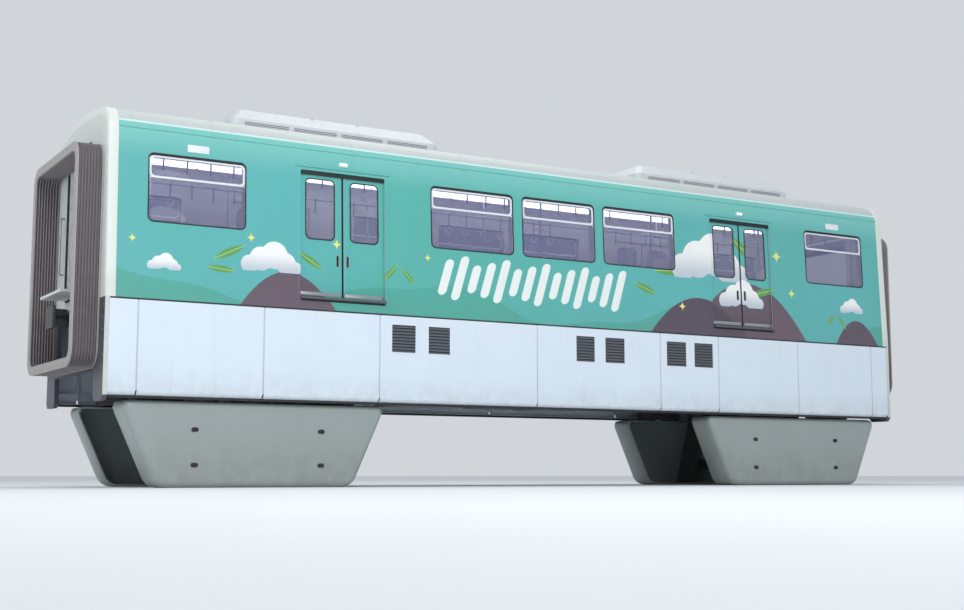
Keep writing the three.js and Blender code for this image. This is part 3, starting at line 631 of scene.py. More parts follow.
class Sketch:
    """Adds nodes to a tree and links them."""

    def __init__(self, tree: Tree) -> None:
        """Keeps the tree and empties it."""
        self.tree = tree
        tree.nodes.clear()

    def put(self, value: object, socket: Socket) -> None:
        """Links a value into a socket, or sets it to a plain one.

        Args:
            value: what goes in; a colour may be given in eight-bit values.
            socket: where it goes.
        """
        if isinstance(value, Value):
            self.tree.links.new(value.socket, socket)
        else:
            screen = socket.type == "RGBA" and len(value) == 3
            socket.default_value = from_srgb(*value) if screen else value

    def node(self, kind: str, values: Inputs | None = None, **settings: object) -> Node:
        """Adds a node.

        Args:
            kind: its type.
            values: what goes into its inputs, by name or number.
            settings: its properties by name.

        Returns:
            The node.
        """
        made = self.tree.nodes.new(kind)
        for key, setting in settings.items():
            setattr(made, key, setting)
        for key, value in (values or {}).items():
            self.put(value, made.inputs[key])
        return made

    def value(self, kind: str, values: Inputs, output: int = 0, **settings: object) -> Value:
        """One output of a new node."""
        return Value(self, self.node(kind, values, **settings).outputs[output])

    def math(self, operation: str, *values: object) -> Value:
        """The result of a Math node."""
        return self.value("ShaderNodeMath", dict(enumerate(values)), operation=operation)

    def smooth(self, value: Value, low: object, high: object) -> Value:
        """A smooth step of a value, 0 at low and 1 at high."""
        inputs = {"Value": value, "From Min": low, "From Max": high}
        return self.value("ShaderNodeMapRange", inputs, interpolation_type="SMOOTHSTEP")

    def mix(self, factor: object, first: object, second: object, blend: str = "MIX") -> Value:
        """A colour between two others."""
        inputs = {0: factor, 6: first, 7: second}
        return self.value("ShaderNodeMix", inputs, 2, data_type="RGBA", blend_type=blend)

    def noise(self, place: Value, scale: object, detail: float = 3.0, rough: float = 0.5) -> Value:
        """The value of a noise texture, about 0.5."""
        inputs = {"Vector": place, "Scale": scale, "Detail": detail, "Roughness": rough}
        return self.value("ShaderNodeTexNoise", inputs)

    def stretched(self, place: Value, *factors: float) -> Value:
        """A place with each of its axes scaled."""
        return self.value("ShaderNodeMapping", {"Vector": place, "Scale": factors})

    def parts(self, place: Value) -> list[Value]:
        """The X, Y and Z of a place."""
        return [Value(self, out) for out in self.node("ShaderNodeSeparateXYZ", {0: place}).outputs]

    def group(self, tree: Tree, values: Inputs) -> dict[str, Value]:
        """Places a node group with its inputs and gives its outputs by name."""
        made = self.node("ShaderNodeGroup", values, node_tree=tree)
        return {out.name: Value(self, out) for out in made.outputs}

    def relief(self, height: Value, strength: float, distance: float, shader: Node) -> None:
        """Feeds a height through a Bump node into a shader's normal."""
        values = {"Strength": strength, "Distance": distance, "Height": height}
        self.put(self.value("ShaderNodeBump", values), shader.inputs["Normal"])


def shader_group(name: str, inputs: Inputs, outputs: Sequence[str]) -> tuple[Tree, Sketch, dict, dict]:
    """Starts a shader node group with named sockets.

    Args:
        name: the group's name.
        inputs: each input's starting value: a number, a colour, or None for a place.
        outputs: the outputs' names; one that says Color is a colour.

    Returns:
        The tree, its sketch, its inputs as values by name, and its outputs' sockets by name.
    """
    tree = bpy.data.node_groups.new(name, "ShaderNodeTree")
    for label, value in inputs.items():
        kind = "Vector" if value is None else "Color" if isinstance(value, tuple) else "Float"
        made = tree.interface.new_socket(name=label, in_out="INPUT", socket_type=f"NodeSocket{kind}")
        if value is not None:
            made.default_value = value
    for label in outputs:
        kind = "Color" if "Color" in label else "Float"
        tree.interface.new_socket(name=label, in_out="OUTPUT", socket_type=f"NodeSocket{kind}")
    s = Sketch(tree)
    into = {socket.name: Value(s, socket) for socket in s.node("NodeGroupInput").outputs if socket.name}
    return tree, s, into, {socket.name: socket for socket in s.node("NodeGroupOutput").inputs}


@cache
def weathering() -> Tree:
    """Builds the shared weathering: cloudy tone, rain streaks, dust near the foot and a fine bump.

    Streaks are noise stretched tall and kept where it is high. Dust grows smoothly from the head height down
    to the foot height and is broken up by noise.

    Returns:
        The node group.
    """
    grey, dust_color = (0.5, 0.5, 0.5, 1.0), from_srgb(120, 112, 100)
    inputs = {"Place": None, "Color": grey, "Dust Color": dust_color, "Roughness": 0.4, "Tone": 0.06}
    inputs |= {"Streaks": 0.1, "Dust": 0.2, "Foot": 0.0, "Head": 1.0, "Grain Scale": 220.0}
    tree, s, get, out = shader_group("weathering", inputs, ["Color", "Roughness", "Height"])
    place = get["Place"]
    cloudy = s.noise(place, 1.3, 4.0, 0.6)
    shaded = s.mix(1.0, get["Color"], (cloudy - 0.5) * get["Tone"] + 1.0, "MULTIPLY")
    tall = s.noise(s.stretched(place, 9.0, 9.0, 0.55), 1.0, 4.0, 0.65)
    streak = s.smooth(tall, 0.52, 0.78) * get["Streaks"]
    low = 1.0 - s.smooth(s.parts(place)[2], get["Foot"], get["Head"])
    dust = low * s.smooth(s.noise(place, 5.0, 6.0, 0.7), 0.25, 0.75) * get["Dust"]
    dirt = s.math("MINIMUM", streak + dust, 1.0)
    speck = s.noise(place, get["Grain Scale"], 2.0)
    s.put(s.mix(dirt, shaded, get["Dust Color"]), out["Color"])
    s.put(s.math("MAXIMUM", dirt * 0.35 + get["Roughness"] + (speck - 0.5) * 0.12, 0.02), out["Roughness"])
    s.put(dirt * 0.3 + speck, out["Height"])
    return tree


@cache
def weave() -> Tree:
    """Builds the seat cloth's weave: the larger of two rounded sine ridges, one along each direction.

    Returns:
        The node group.
    """
    inputs = {"Place": None, "Color": (0.1, 0.2, 0.3, 1.0), "Fleck": (0.4, 0.5, 0.6, 1.0)}
    tree, s, get, out = shader_group("cloth_weave", inputs, ["Color", "Height"])
    x, y, z = s.parts(get["Place"])
    height = s.math("MAXIMUM", *(s.math("ABSOLUTE", s.math("SINE", way * 900.0)) for way in (x, y + z)))
    fleck = s.smooth(s.noise(get["Place"], 60.0, 2.0), 0.55, 0.62) * 0.6
    color = s.mix(fleck, get["Color"], get["Fleck"])
    s.put(s.mix(1.0, color, height * 0.35 + 0.65, "MULTIPLY"), out["Color"])
    s.put(height, out["Height"])
    return tree


# Each row: place along the car, height, turn in radians, size
LEAVES = (
    (1.98, 3.72, 0.5, 0.34),
    (2.12, 3.42, 0.05, 0.3),
    (3.72, 3.9, 2.5, 0.36),
    (3.95, 3.56, 2.95, 0.32),
    (4.1, 3.2, -2.9, 0.26),
    (1.62, 3.1, -0.35, 0.24),
    (-5.3, 3.12, 0.45, 0.24),
    (-5.42, 2.88, -0.1, 0.2),
    (-4.12, 3.1, 2.6, 0.22),
    (-2.9, 3.02, 0.8, 0.17),
    (-2.62, 2.98, 2.3, 0.16),
    (5.6, 2.82, 0.7, 0.15),
    (5.86, 2.8, 2.2, 0.15),
)
CLOUDS = (
    (2.95, 3.5, 0.0, 0.78),
    (3.62, 3.02, 0.0, 0.46),
    (-4.72, 2.98, 0.0, 0.42),
    (6.1, 3.02, 0.0, 0.26),
    (-6.2, 2.86, 0.0, 0.22),
)
SPARKLES = (
    (1.6, 3.86, 0.0, 0.12),
    (4.42, 3.84, 0.0, 0.13),
    (2.35, 2.86, 0.0, 0.09),
    (4.72, 3.22, 0.0, 0.1),
    (-5.0, 3.34, 0.0, 0.08),
    (-3.72, 3.36, 0.0, 0.09),
    (-6.62, 3.2, 0.0, 0.07),
    (-2.3, 3.28, 0.0, 0.07),
)
# Each row: place along the car, half width, rise, colour
MOUNDS = (
    (3.75, 1.25, 0.92, (104, 88, 102)),
    (2.7, 1.0, 0.6, (86, 74, 90)),
    (-4.45, 0.7, 0.5, (104, 88, 102)),
    (6.2, 0.5, 0.42, (92, 80, 96)),
)
# Each row: a puff's place across and up in the cloud, and its radius
PUFFS = ((-0.72, 0.0, 0.3), (-0.32, 0.2, 0.4), (0.14, 0.34, 0.46), (0.52, 0.1, 0.36), (0.86, -0.04, 0.22))


def length(s: Sketch, a: Value, b: Value) -> Value:
    """The root of the sum of two squares."""
    return s.math("SQRT", a * a + b * b)


def leaf(s: Sketch, a: Value, b: Value) -> tuple[Value, Value]:
    """The mask of a leaf, the space between two parabolas, and a fine rib as its shade."""
    side = s.math("ABSOLUTE", b)
    return s.smooth((1.0 - a * a) * 0.24 - side, 0.0, 0.012), 1.0 - s.smooth(side, 0.012, 0.024)


def cloud(s: Sketch, a: Value, b: Value) -> tuple[Value, Value]:
    """The mask of a cloud, round puffs joined softly over a flat foot, and its shade, darkest at the foot.

    Args:
        s: the sketch to add nodes to.
        a: the place across the cloud.
        b: the place up the cloud.

    Returns:
        The mask and the shade.
    """
    puffs = [radius - length(s, a - across, b - up) for across, up, radius in PUFFS]
    reach = reduce(lambda near, puff: s.math("SMOOTH_MAX", near, puff, 0.06), puffs)
    return s.smooth(s.math("MINIMUM", reach, b + 0.22), 0.0, 0.015), 1.0 - s.smooth(b, -0.25, 0.45)


def sparkle(s: Sketch, a: Value, b: Value) -> tuple[Value, float]:
    """The mask of a sparkle, where the square roots of both distances add to less than one."""
    roots = [s.math("SQRT", s.math("ABSOLUTE", way)) for way in (a, b)]
    return 1.0 - s.smooth(roots[0] + roots[1], 0.96, 1.02), 0.0


MOTIF_INPUTS = {"U": 0.0, "V": 0.0, "Centre U": 0.0, "Centre V": 0.0, "Turn": 0.0, "Size": 1.0}
# Each row: what draws the motif, its places, its plain colour and its shaded one
MOTIFS = (
    (leaf, LEAVES, (96, 164, 88), (196, 222, 136)),
    (cloud, CLOUDS, (248, 250, 248), (196, 205, 216)),
    (sparkle, SPARKLES, (244, 236, 120), (244, 236, 120)),
)


@cache
def motif_group(draw: Callable[[Sketch, Value, Value], tuple]) -> Tree:
    """Builds a motif's node group, drawn over its own two directions in units of its size.

    Args:
        draw: gives the motif's mask and shade.

    Returns:
        The node group.
    """
    tree, s, get, out = shader_group(f"{draw.__name__}_motif", MOTIF_INPUTS, ["Mask", "Shade"])
    du, dv = get["U"] - get["Centre U"], get["V"] - get["Centre V"]
    cosine, sine = s.math("COSINE", get["Turn"]), s.math("SINE", get["Turn"])
    own = (du * cosine + dv * sine) / get["Size"], (dv * cosine - du * sine) / get["Size"]
    for value, socket in zip(draw(s, *own), out.values()):
        s.put(value, socket)
    return tree


@cache
def livery() -> Tree:
    """Builds the body's printed wrap: low hills, clouds, leaves, sparkles and a row of leaning bars on teal that
    is lightened towards the roof as a painted highlight.

    The wrap is drawn over the length and the height, and runs the same way on both sides: the length is X on
    the right and minus X on the left. The hills' edge is a sum of two sine waves, a mound's is a parabola.
    A bar is the part of a repeated cell that is nearer its leaning middle line than its half width.

    Returns:
        The node group.
    """
    tree, s, get, out = shader_group("body_wrap", {"Place": None}, ["Color"])
    x, y, z = s.parts(get["Place"])
    u = x * s.math("SIGN", y) * -1.0
    bands = s.smooth(s.noise(s.stretched(get["Place"], 0.55, 0.2, 0.12), 1.0, 2.0), 0.35, 0.68)
    color = s.mix(bands, (88, 181, 170), (93, 183, 182))
    # Painted highlight: the teal turns lighter towards the roof, standing in for reflected sky light.
    color = s.mix(s.smooth(z, 4.2, 4.7), color, (124, 201, 193))
    crest = s.math("SINE", u * 1.25 - 1.9) * 0.24 + s.math("SINE", u * 3.1) * 0.07 + 2.66
    color = s.mix(s.smooth(crest - z, 0.0, 0.01), color, (80, 172, 158))
    for centre, half, rise, tint in MOUNDS:
        share = (u - centre) / half
        color = s.mix(s.smooth(share * share * -rise + (BODY.foot + rise) - z, 0.0, 0.01), color, tint)
    cell = (u - (z - 2.95) * 0.32) * 4.2
    number = s.math("FLOOR", cell)
    within = (cell - number - 0.5) / 4.2
    tall = s.math("SINE", number * 2.1) * 0.07 + 0.2
    over = s.math("MAXIMUM", s.math("ABSOLUTE", z - 3.02) - tall, 0.0)
    bar = 1.0 - s.smooth(length(s, within, over), 0.068, 0.074)
    here = s.math("GREATER_THAN", number, -9.5) * s.math("LESS_THAN", number, 4.5)
    color = s.mix(bar * here, color, (240, 246, 243))
    for draw, rows, plain, shaded in MOTIFS:
        for row in rows:
            made = s.group(motif_group(draw), {"U": u, "V": z} | dict(zip(list(MOTIF_INPUTS)[2:], row)))
            color = s.mix(made["Mask"], color, s.mix(made["Shade"], plain, shaded))
    s.put(color, out["Color"])
    return tree


def started(name: str, plain: Inputs) -> tuple[Material, Sketch, Node, Value]:
    """Starts a material.

    Args:
        name: its name.
        plain: values of the shader's own sockets.

    Returns:
        The material, its sketch, its Principled BSDF and the Object coordinates.
    """
    material = bpy.data.materials.new(name)
    material.use_nodes = True
    s = Sketch(material.node_tree)
    shader = s.node("ShaderNodeBsdfPrincipled", plain)
    s.node("ShaderNodeOutputMaterial", {"Surface": Value(s, shader.outputs[0])})
    return material, s, shader, Value(s, s.node("ShaderNodeTexCoord").outputs["Object"])


@dataclass(frozen=True)
class Finish:
    """A painted, moulded, rubber or metal finish, weathered by the shared group."""

    name: str
    slot: str
    color: Tint
    roughness: float = 0.4
    metallic: float = 0.0
    coat: float = 0.0
    tone: float = 0.08
    streaks: float = 0.06
    dust: float = 0.12
    foot: float = 1.0
    head: float = 2.6
    grain: float = 220.0
    bump: float = 0.05
    specular: float = 0.5

    def pattern(self, s: Sketch, place: Value) -> object:
        """The colour before weathering."""
        return self.color

    def dimmed(self, share: float) -> Tint:
        """The colour made darker."""
        return tuple(int(share * part) for part in self.color)

    def make(self) -> Material:
        """Feeds the colour through the weathering into the shader.

        Returns:
            The material.
        """
        plain = {"Metallic": self.metallic, "Coat Weight": self.coat, "Coat Roughness": 0.08}
        material, s, shader, place = started(self.name, plain | {"Specular IOR Level": self.specular})
        wear = ("Roughness", "Tone", "Streaks", "Dust", "Foot", "Head")
        values = {name: getattr(self, name.lower()) for name in wear} | {"Grain Scale": self.grain}
        worn = s.group(weathering(), values | {"Place": place, "Color": self.pattern(s, place)})
        s.put(worn["Color"], shader.inputs["Base Color"])
        s.put(worn["Roughness"], shader.inputs["Roughness"])
        s.relief(worn["Height"], self.bump, 0.002, shader)
        return material


@dataclass(frozen=True)
class WrapFinish(Finish):
    """The wrap on what faces out, and a light lining on what lies further in than a given distance."""

    lining: Tint = (214, 214, 206)
    inner: float = 1.432

    def pattern(self, s: Sketch, place: Value) -> Value:
        """The wrap outside and the lining inside, told apart by the distance at the wall's foot.

        Args:
            s: the material's sketch.
            place: the Object coordinates.

        Returns:
            The colour.
        """
        _, y, z = s.parts(place)
        upright = s.math("ABSOLUTE", y) + (z - BODY.foot) * BODY.lean
        wrap = s.group(livery(), {"Place": place})["Color"]
        return s.mix(s.math("LESS_THAN", upright, self.inner), wrap, self.lining)


@dataclass(frozen=True)
class RoofFinish(Finish):
    """The roof's finish: the wrap runs up on the shoulder's foot in a lighter teal and ends in a pale line, both
    painted highlight.
    """

    # Lighter than the wrap's own teal: painted highlight of reflected sky light
    wrap: Tint = (124, 201, 193)
    wrap_top: float = 4.745
    # The pale line along the eave is a painted highlight
    line: Tint = (212, 238, 234)
    line_width: float = 0.028

    def pattern(self, s: Sketch, place: Value) -> Value:
        """The wrap's teal made lighter as a painted highlight below its top edge, a pale line of painted
        highlight, and the roof's paint above.

        Args:
            s: the material's sketch.
            place: the Object coordinates.

        Returns:
            The colour.
        """
        z = s.parts(place)[2]
        color = s.mix(s.math("GREATER_THAN", z, self.wrap_top), self.wrap, self.line)
        return s.mix(s.math("GREATER_THAN", z, self.wrap_top + self.line_width), color, self.color)


@dataclass(frozen=True)
class EndFinish(Finish):
    """The end wall's finish: light above the floor line and on the aprons' outer sides, dark below it."""

    apron: Tint = (74, 79, 90)
    side: float = 1.4485
    foot_line: float = 1.17

    def pattern(self, s: Sketch, place: Value) -> Value:
        """The light paint above the floor line and the apron's below it.

        Args:
            s: the material's sketch.
            place: the Object coordinates.

        Returns:
            The colour.
        """
        _, y, z = s.parts(place)
        inward = s.math("LESS_THAN", s.math("ABSOLUTE", y), self.side)
        below = s.math("LESS_THAN", z, BODY.foot) * inward
        below = s.math("MAXIMUM", below, s.math("LESS_THAN", z, self.foot_line))
        return s.mix(below, self.color, self.apron)


@dataclass(frozen=True)
class Cloth(Finish):
    """Woven seat cloth with coloured flecks."""

    fleck: Tint = (120, 170, 180)

    def make(self) -> Material:
        """The weave's colour and relief under the shader's sheen.

        Returns:
            The material.
        """
        material, s, shader, place = started(self.name, {"Roughness": self.roughness, "Sheen Weight": 0.3})
        woven = s.group(weave(), {"Place": place, "Color": self.color, "Fleck": self.fleck})
        s.put(woven["Color"], shader.inputs["Base Color"])
        s.relief(woven["Height"], 0.4, 0.001, shader)
        return material


@dataclass(frozen=True)
class Glass(Finish):
    """Tinted safety glass, seen through in part, with a faint uneven film."""

    alpha: float = 0.56

    def make(self) -> Material:
        """Smooth tinted glass.

        Returns:
            The material.
        """
        material, s, shader, place = started(self.name, {"Alpha": self.alpha, "IOR": 1.5})
        film = s.noise(s.stretched(place, 1.0, 1.0, 0.4), 2.2, 4.0, 0.6)
        s.put(film * 0.05 + 0.015, shader.inputs["Roughness"])
        s.put(s.mix(film, self.dimmed(0.9), self.color), shader.inputs["Base Color"])
        return material


@dataclass(frozen=True)
class Lamp(Finish):
    """A lit diffuser, a little uneven along its length."""

    strength: float = 1.0

    def make(self) -> Material:
        """A glowing diffuser.

        Returns:
            The material.
        """
        plain = {"Emission Strength": self.strength, "Base Color": self.color}
        material, s, shader, place = started(self.name, plain)
        cloudy = s.noise(place, 3.0, 2.0)
        s.put(s.mix(cloudy, self.dimmed(0.93), self.color), shader.inputs["Emission Color"])
        s.put(cloudy * 0.1 + 0.3, shader.inputs["Roughness"])
        return material


class Paint(Enum):
    """Every finish of the car and the slot that each stands for."""

    WRAP = WrapFinish(
        "body_wrap", "body_teal", (90, 181, 173), 0.3, coat=0.25, dust=0.16, foot=2.3, head=2.9
    )
    LEAF = replace(WRAP, name="leaf_wrap", inner=1.398)
    SKIRT = Finish(
        "skirt_paint", "skirt_white", (224, 236, 246), 0.32, coat=0.2, dust=0.24, foot=1.1, head=1.65
    )
    SEAM = Finish("seam_filler", "skirt_white", (196, 200, 220), 0.55, dust=0.2)
    CREAM = Finish("end_paint", "end_cream", (226, 233, 226), 0.36, coat=0.15, dust=0.2, foot=2.2, head=3.2)
    ENDS = EndFinish("end_wall_paint", "end_cream", (214, 221, 216), 0.4, dust=0.25, foot=1.0, head=3.4)
    ROOF = RoofFinish("roof_paint", "roof_grey", (196, 203, 201), 0.45, streaks=0.12, grain=90.0, bump=0.12)
    UNIT = Finish("roof_unit_paint", "skirt_white", (206, 212, 214), 0.42, tone=0.1, streaks=0.14, dust=0.1)
    COVER = Finish(
        "cover_paint", "cover_grey", (154, 164, 162), 0.36, coat=0.1, dust=0.35, foot=0.0, head=0.9
    )
    BELLOWS = Finish(
        "bellows_rubber", "bellows_grey", (150, 142, 146), 0.7,
        tone=0.2, dust=0.45, foot=1.4, head=3.8, grain=140.0, bump=0.3,
    )
    PIPING = Finish("bellows_piping", "bellows_grey", (168, 164, 162), 0.6, dust=0.3)
    RUBBER = Finish("seal_rubber", "bellows_grey", (34, 36, 40), 0.62, dust=0.1, bump=0.1)
    FRAME = Finish(
        "bogie_paint", "frame_grey", (72, 77, 82), 0.5, 0.3, tone=0.2, dust=0.5, foot=0.2, head=2.4
    )
    CASE = Finish("case_paint", "equipment_grey", (92, 98, 102), 0.5, 0.2, tone=0.14, dust=0.4, foot=1.1)
    LOUVRE = Finish("louvre_paint", "equipment_grey", (104, 109, 116), 0.45, 0.2, dust=0.25)
    # Painted shade: a near-black sheet set in holes, wells and recesses stands in for the shadow inside them.
    HOLLOW = Finish("dark_hollow", "equipment_grey", (24, 26, 30), 0.7, dust=0.2)
    STEEL = Finish("brushed_steel", "equipment_grey", (170, 174, 178), 0.3, 0.9, dust=0.1, grain=400.0)
    BOLT = Finish("bolt_zinc", "equipment_grey", (150, 152, 150), 0.38, 0.8, dust=0.2)
    VINYL = Finish(
        "floor_vinyl", "equipment_grey", (120, 116, 112), 0.55, tone=0.14, streaks=0.0, dust=0.0, bump=0.15
    )
    TYRE = Finish("tyre_rubber", "tyre_black", (38, 38, 40), 0.8, tone=0.2, dust=0.4, foot=0.0, bump=0.3)
    WHITE = Finish("white_trim", "skirt_white", (236, 240, 244), 0.3, coat=0.2, dust=0.06)
    LINING = Finish("cabin_lining", "end_cream", (226, 226, 218), 0.5, tone=0.04, streaks=0.0, dust=0.0)
    CLOTH = Cloth("seat_cloth", "seat_fabric", (40, 84, 112), 0.9)
    GLASS = Glass("tinted_glass", "window_glass", (120, 122, 158))
    DOOR_GLASS = Glass("door_glass", "window_glass", (126, 130, 160))
    DIFFUSER = Lamp("lamp_diffuser", "skirt_white", (232, 228, 255), strength=9.0)
    MARKER = Lamp("door_lamp_lens", "skirt_white", (244, 246, 250), strength=0.6)
    STAGE = Finish(
        "studio_floor", "", (228, 230, 232), 0.9, tone=0.02, streaks=0.0, dust=0.0, bump=0.0, specular=0.0
    )


@cache
def material_of(paint: Paint) -> Material:
    """The finish's material, made once."""
    return paint.value.make()


# Pieces


Part = tuple[Surface, Paint]


def mesh_object(
    name: str, parts: Sequence[Part], rule: Rule | None = None, smooth_angle: float = 32.0
) -> Thing:
    """Makes one object of several surfaces, each with its finish.

    Args:
        name: the object's name.
        parts: pairs of a surface and its finish.
        rule: moves the points to their place on the car.
        smooth_angle: edges sharper than this, in degrees, stay sharp.

    Returns:
        The object, linked to the scene, with its place in its mesh and its faces outwards.
    """
    whole = joined([surface for surface, _ in parts])
    whole = whole.mapped(rule) if rule else whole
    paints = list(dict.fromkeys(paint for _, paint in parts))
    mesh = bpy.data.meshes.new(name)
    mesh.from_pydata(whole.points, [], [face for block in whole.faces for face in block.tolist()])
    counts = [sum(len(block) for block in surface.faces) for surface, _ in parts]
    slots = np.repeat([paints.index(paint) for _, paint in parts], counts).astype(np.int32)
    mesh.polygons.foreach_set("material_index", slots)
    for paint in paints:
        mesh.materials.append(material_of(paint))
    mesh.shade_smooth()
    mesh.set_sharp_from_angle(angle=math.radians(smooth_angle))
    thing = bpy.data.objects.new(name, mesh)
    bpy.context.scene.collection.objects.link(thing)
    return thing


def piece(
    name: str,
    *parts: Part,
    rule: Rule | None = None,
    body: str = CAR,
    replaces: Sequence[str] = (),
    smooth_angle: float = 32.0,
) -> Thing:
    """Makes a piece of the car.

    Args:
        name: the piece's name.
        parts: pairs of a surface and its finish.
        rule: moves the points to their place on the car.
        body: the body that it moves with.
        replaces: CAD nodes that it stands for.
        smooth_angle: edges sharper than this, in degrees, stay sharp.

    Returns:
        The piece.
    """
    thing = mesh_object(name, parts, rule, smooth_angle)
    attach(thing, body)
    if replaces:
        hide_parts(*replaces)
    log.info("%s rides on %s", name, body)
    return thing


# The car's assemblies


@dataclass(frozen=True)
class Roof:
    """The outer skin with its joints and gutters, the ceiling and its lamps."""

    seams: Numbers = (-5.55, -3.5, -1.7, 0.0, 1.7, 3.5, 5.55)
    seam_half: float = 0.009
    skin: float = 0.03
    groove: float = 0.004
    ceiling_sheet: float = 0.02
    lamp: Numbers = (0.52, 0.74)
    lamp_length: float = 1.444
    lamp_rows: int = 9
    gutter: Numbers = (1.332, 1.366, 4.672)
    walk: Numbers = (1.62, 0.34)
    # Places along and across the car
    ventilators: Rows = ((-6.2, 6.2), (-0.45, 0.45))
    ventilator: Rows = (
        (0.11, -0.02), (0.11, 0.02), (0.17, 0.03), (0.185, 0.045), (0.17, 0.065), (0.1, 0.08), (0.02, 0.085)
    )

    def shell(self) -> Surface:
        """The skin, its section carried along the car and set in at each joint.

        The outer line is moved along its own outward directions by an offset that is a function of the place
        along the car alone: 0, and minus the groove's depth within 5 mm of a joint.

        Returns:
            The closed surface.
        """
        line, out = BODY.roof_line()
        marks, depth = notches(self.seams, self.seam_half, -self.groove)
        stations = np.pad(marks, 1, constant_values=(-BODY.ring_start, BODY.ring_start))
        outer = line[None] + out[None] * np.pad(depth, 1)[:, None, None]
        inner = np.broadcast_to((line - out * self.skin)[::-1], outer.shape)
        return lofted(lifted(np.concatenate([outer, inner], 1), stations)).mapped(ACROSS)

    def ceiling(self) -> Surface:
        """The cabin's ceiling, a shallow tray with round corners.

        Returns:
            The closed surface.
        """
        radius = BODY.shoulder - BODY.wall
        turn = math.asin((BODY.ceiling - BODY.top) / radius)
        line = doubled(arc(BODY.shoulder_y, BODY.top, radius, 0, turn, 9), (-1, 1))
        tray = np.concatenate([line, line[::-1] + (0, self.ceiling_sheet)])
        return along_car(tray, -BODY.ring_start, BODY.ring_start)

    def gutters(self) -> Surface:
        """Drip mouldings along both eaves, round on their outer edge.

        Returns:
            The closed surfaces.
        """
        near, far, middle = self.gutter
        nose = arc(far, middle, 0.011, -QUARTER, QUARTER, 7)
        outline = np.concatenate([[[near, middle - 0.011]], nose, [[near, middle + 0.023]]])
        return along_car(outline, -BODY.ring_start, BODY.ring_start).paired()

    def fittings(self) -> tuple[Surface, Surface]:
        """The ribbed walking strip along the crown, and low round ventilators near the ends.

        Returns:
            The strip and the ventilators.
        """
        reach, half = self.walk
        base = prism(rounded(2 * reach, 2 * half, 0.05), 0.001, 0.009)
        rib = slab(2 * reach - 0.08, 0.014, 0.005, 0.006, 0.002, 2)
        ribs = rib.at(0, np.arange(-half + 0.05, half - 0.04, 0.045), 0.009)
        return joined([base, ribs]), turned(self.ventilator, 28).at(*self.ventilators)

    def lamps(self) -> tuple[Surface, Surface]:
        """The diffusers of the two ceiling lamp strips, in lengths with a gap between them, and their trays.

        Returns:
            The diffusers and the trays.
        """
        near, far = self.lamp
        half, high = self.lamp_length / 2, BODY.ceiling
        low, top = (-half + 0.01, near + 0.012, high - 0.115), (half - 0.01, far - 0.012, high - 0.05)
        middles = self.lamp_length * (np.arange(self.lamp_rows) - (self.lamp_rows - 1) / 2)
        reach = half * self.lamp_rows
        tray = brick((-reach, near, high - 0.062), (reach, far, high + 0.004), 0.006)
        return brick(low, top, 0.02).at(middles).paired(), tray.paired()

    def build(self) -> None:
        """Makes the roof's pieces."""
        strip, ventilators = self.fittings()
        diffusers, trays = self.lamps()
        piece("roof_skin", (self.shell(), Paint.ROOF), (self.gutters(), Paint.ROOF), replaces=["roof"])
        piece("roof_fittings", (ventilators, Paint.ROOF), (strip, Paint.CASE), rule=on_roof)
        piece("ceiling", (self.ceiling(), Paint.LINING), (trays, Paint.WHITE))
        piece("ceiling_lamps", (diffusers, Paint.DIFFUSER))


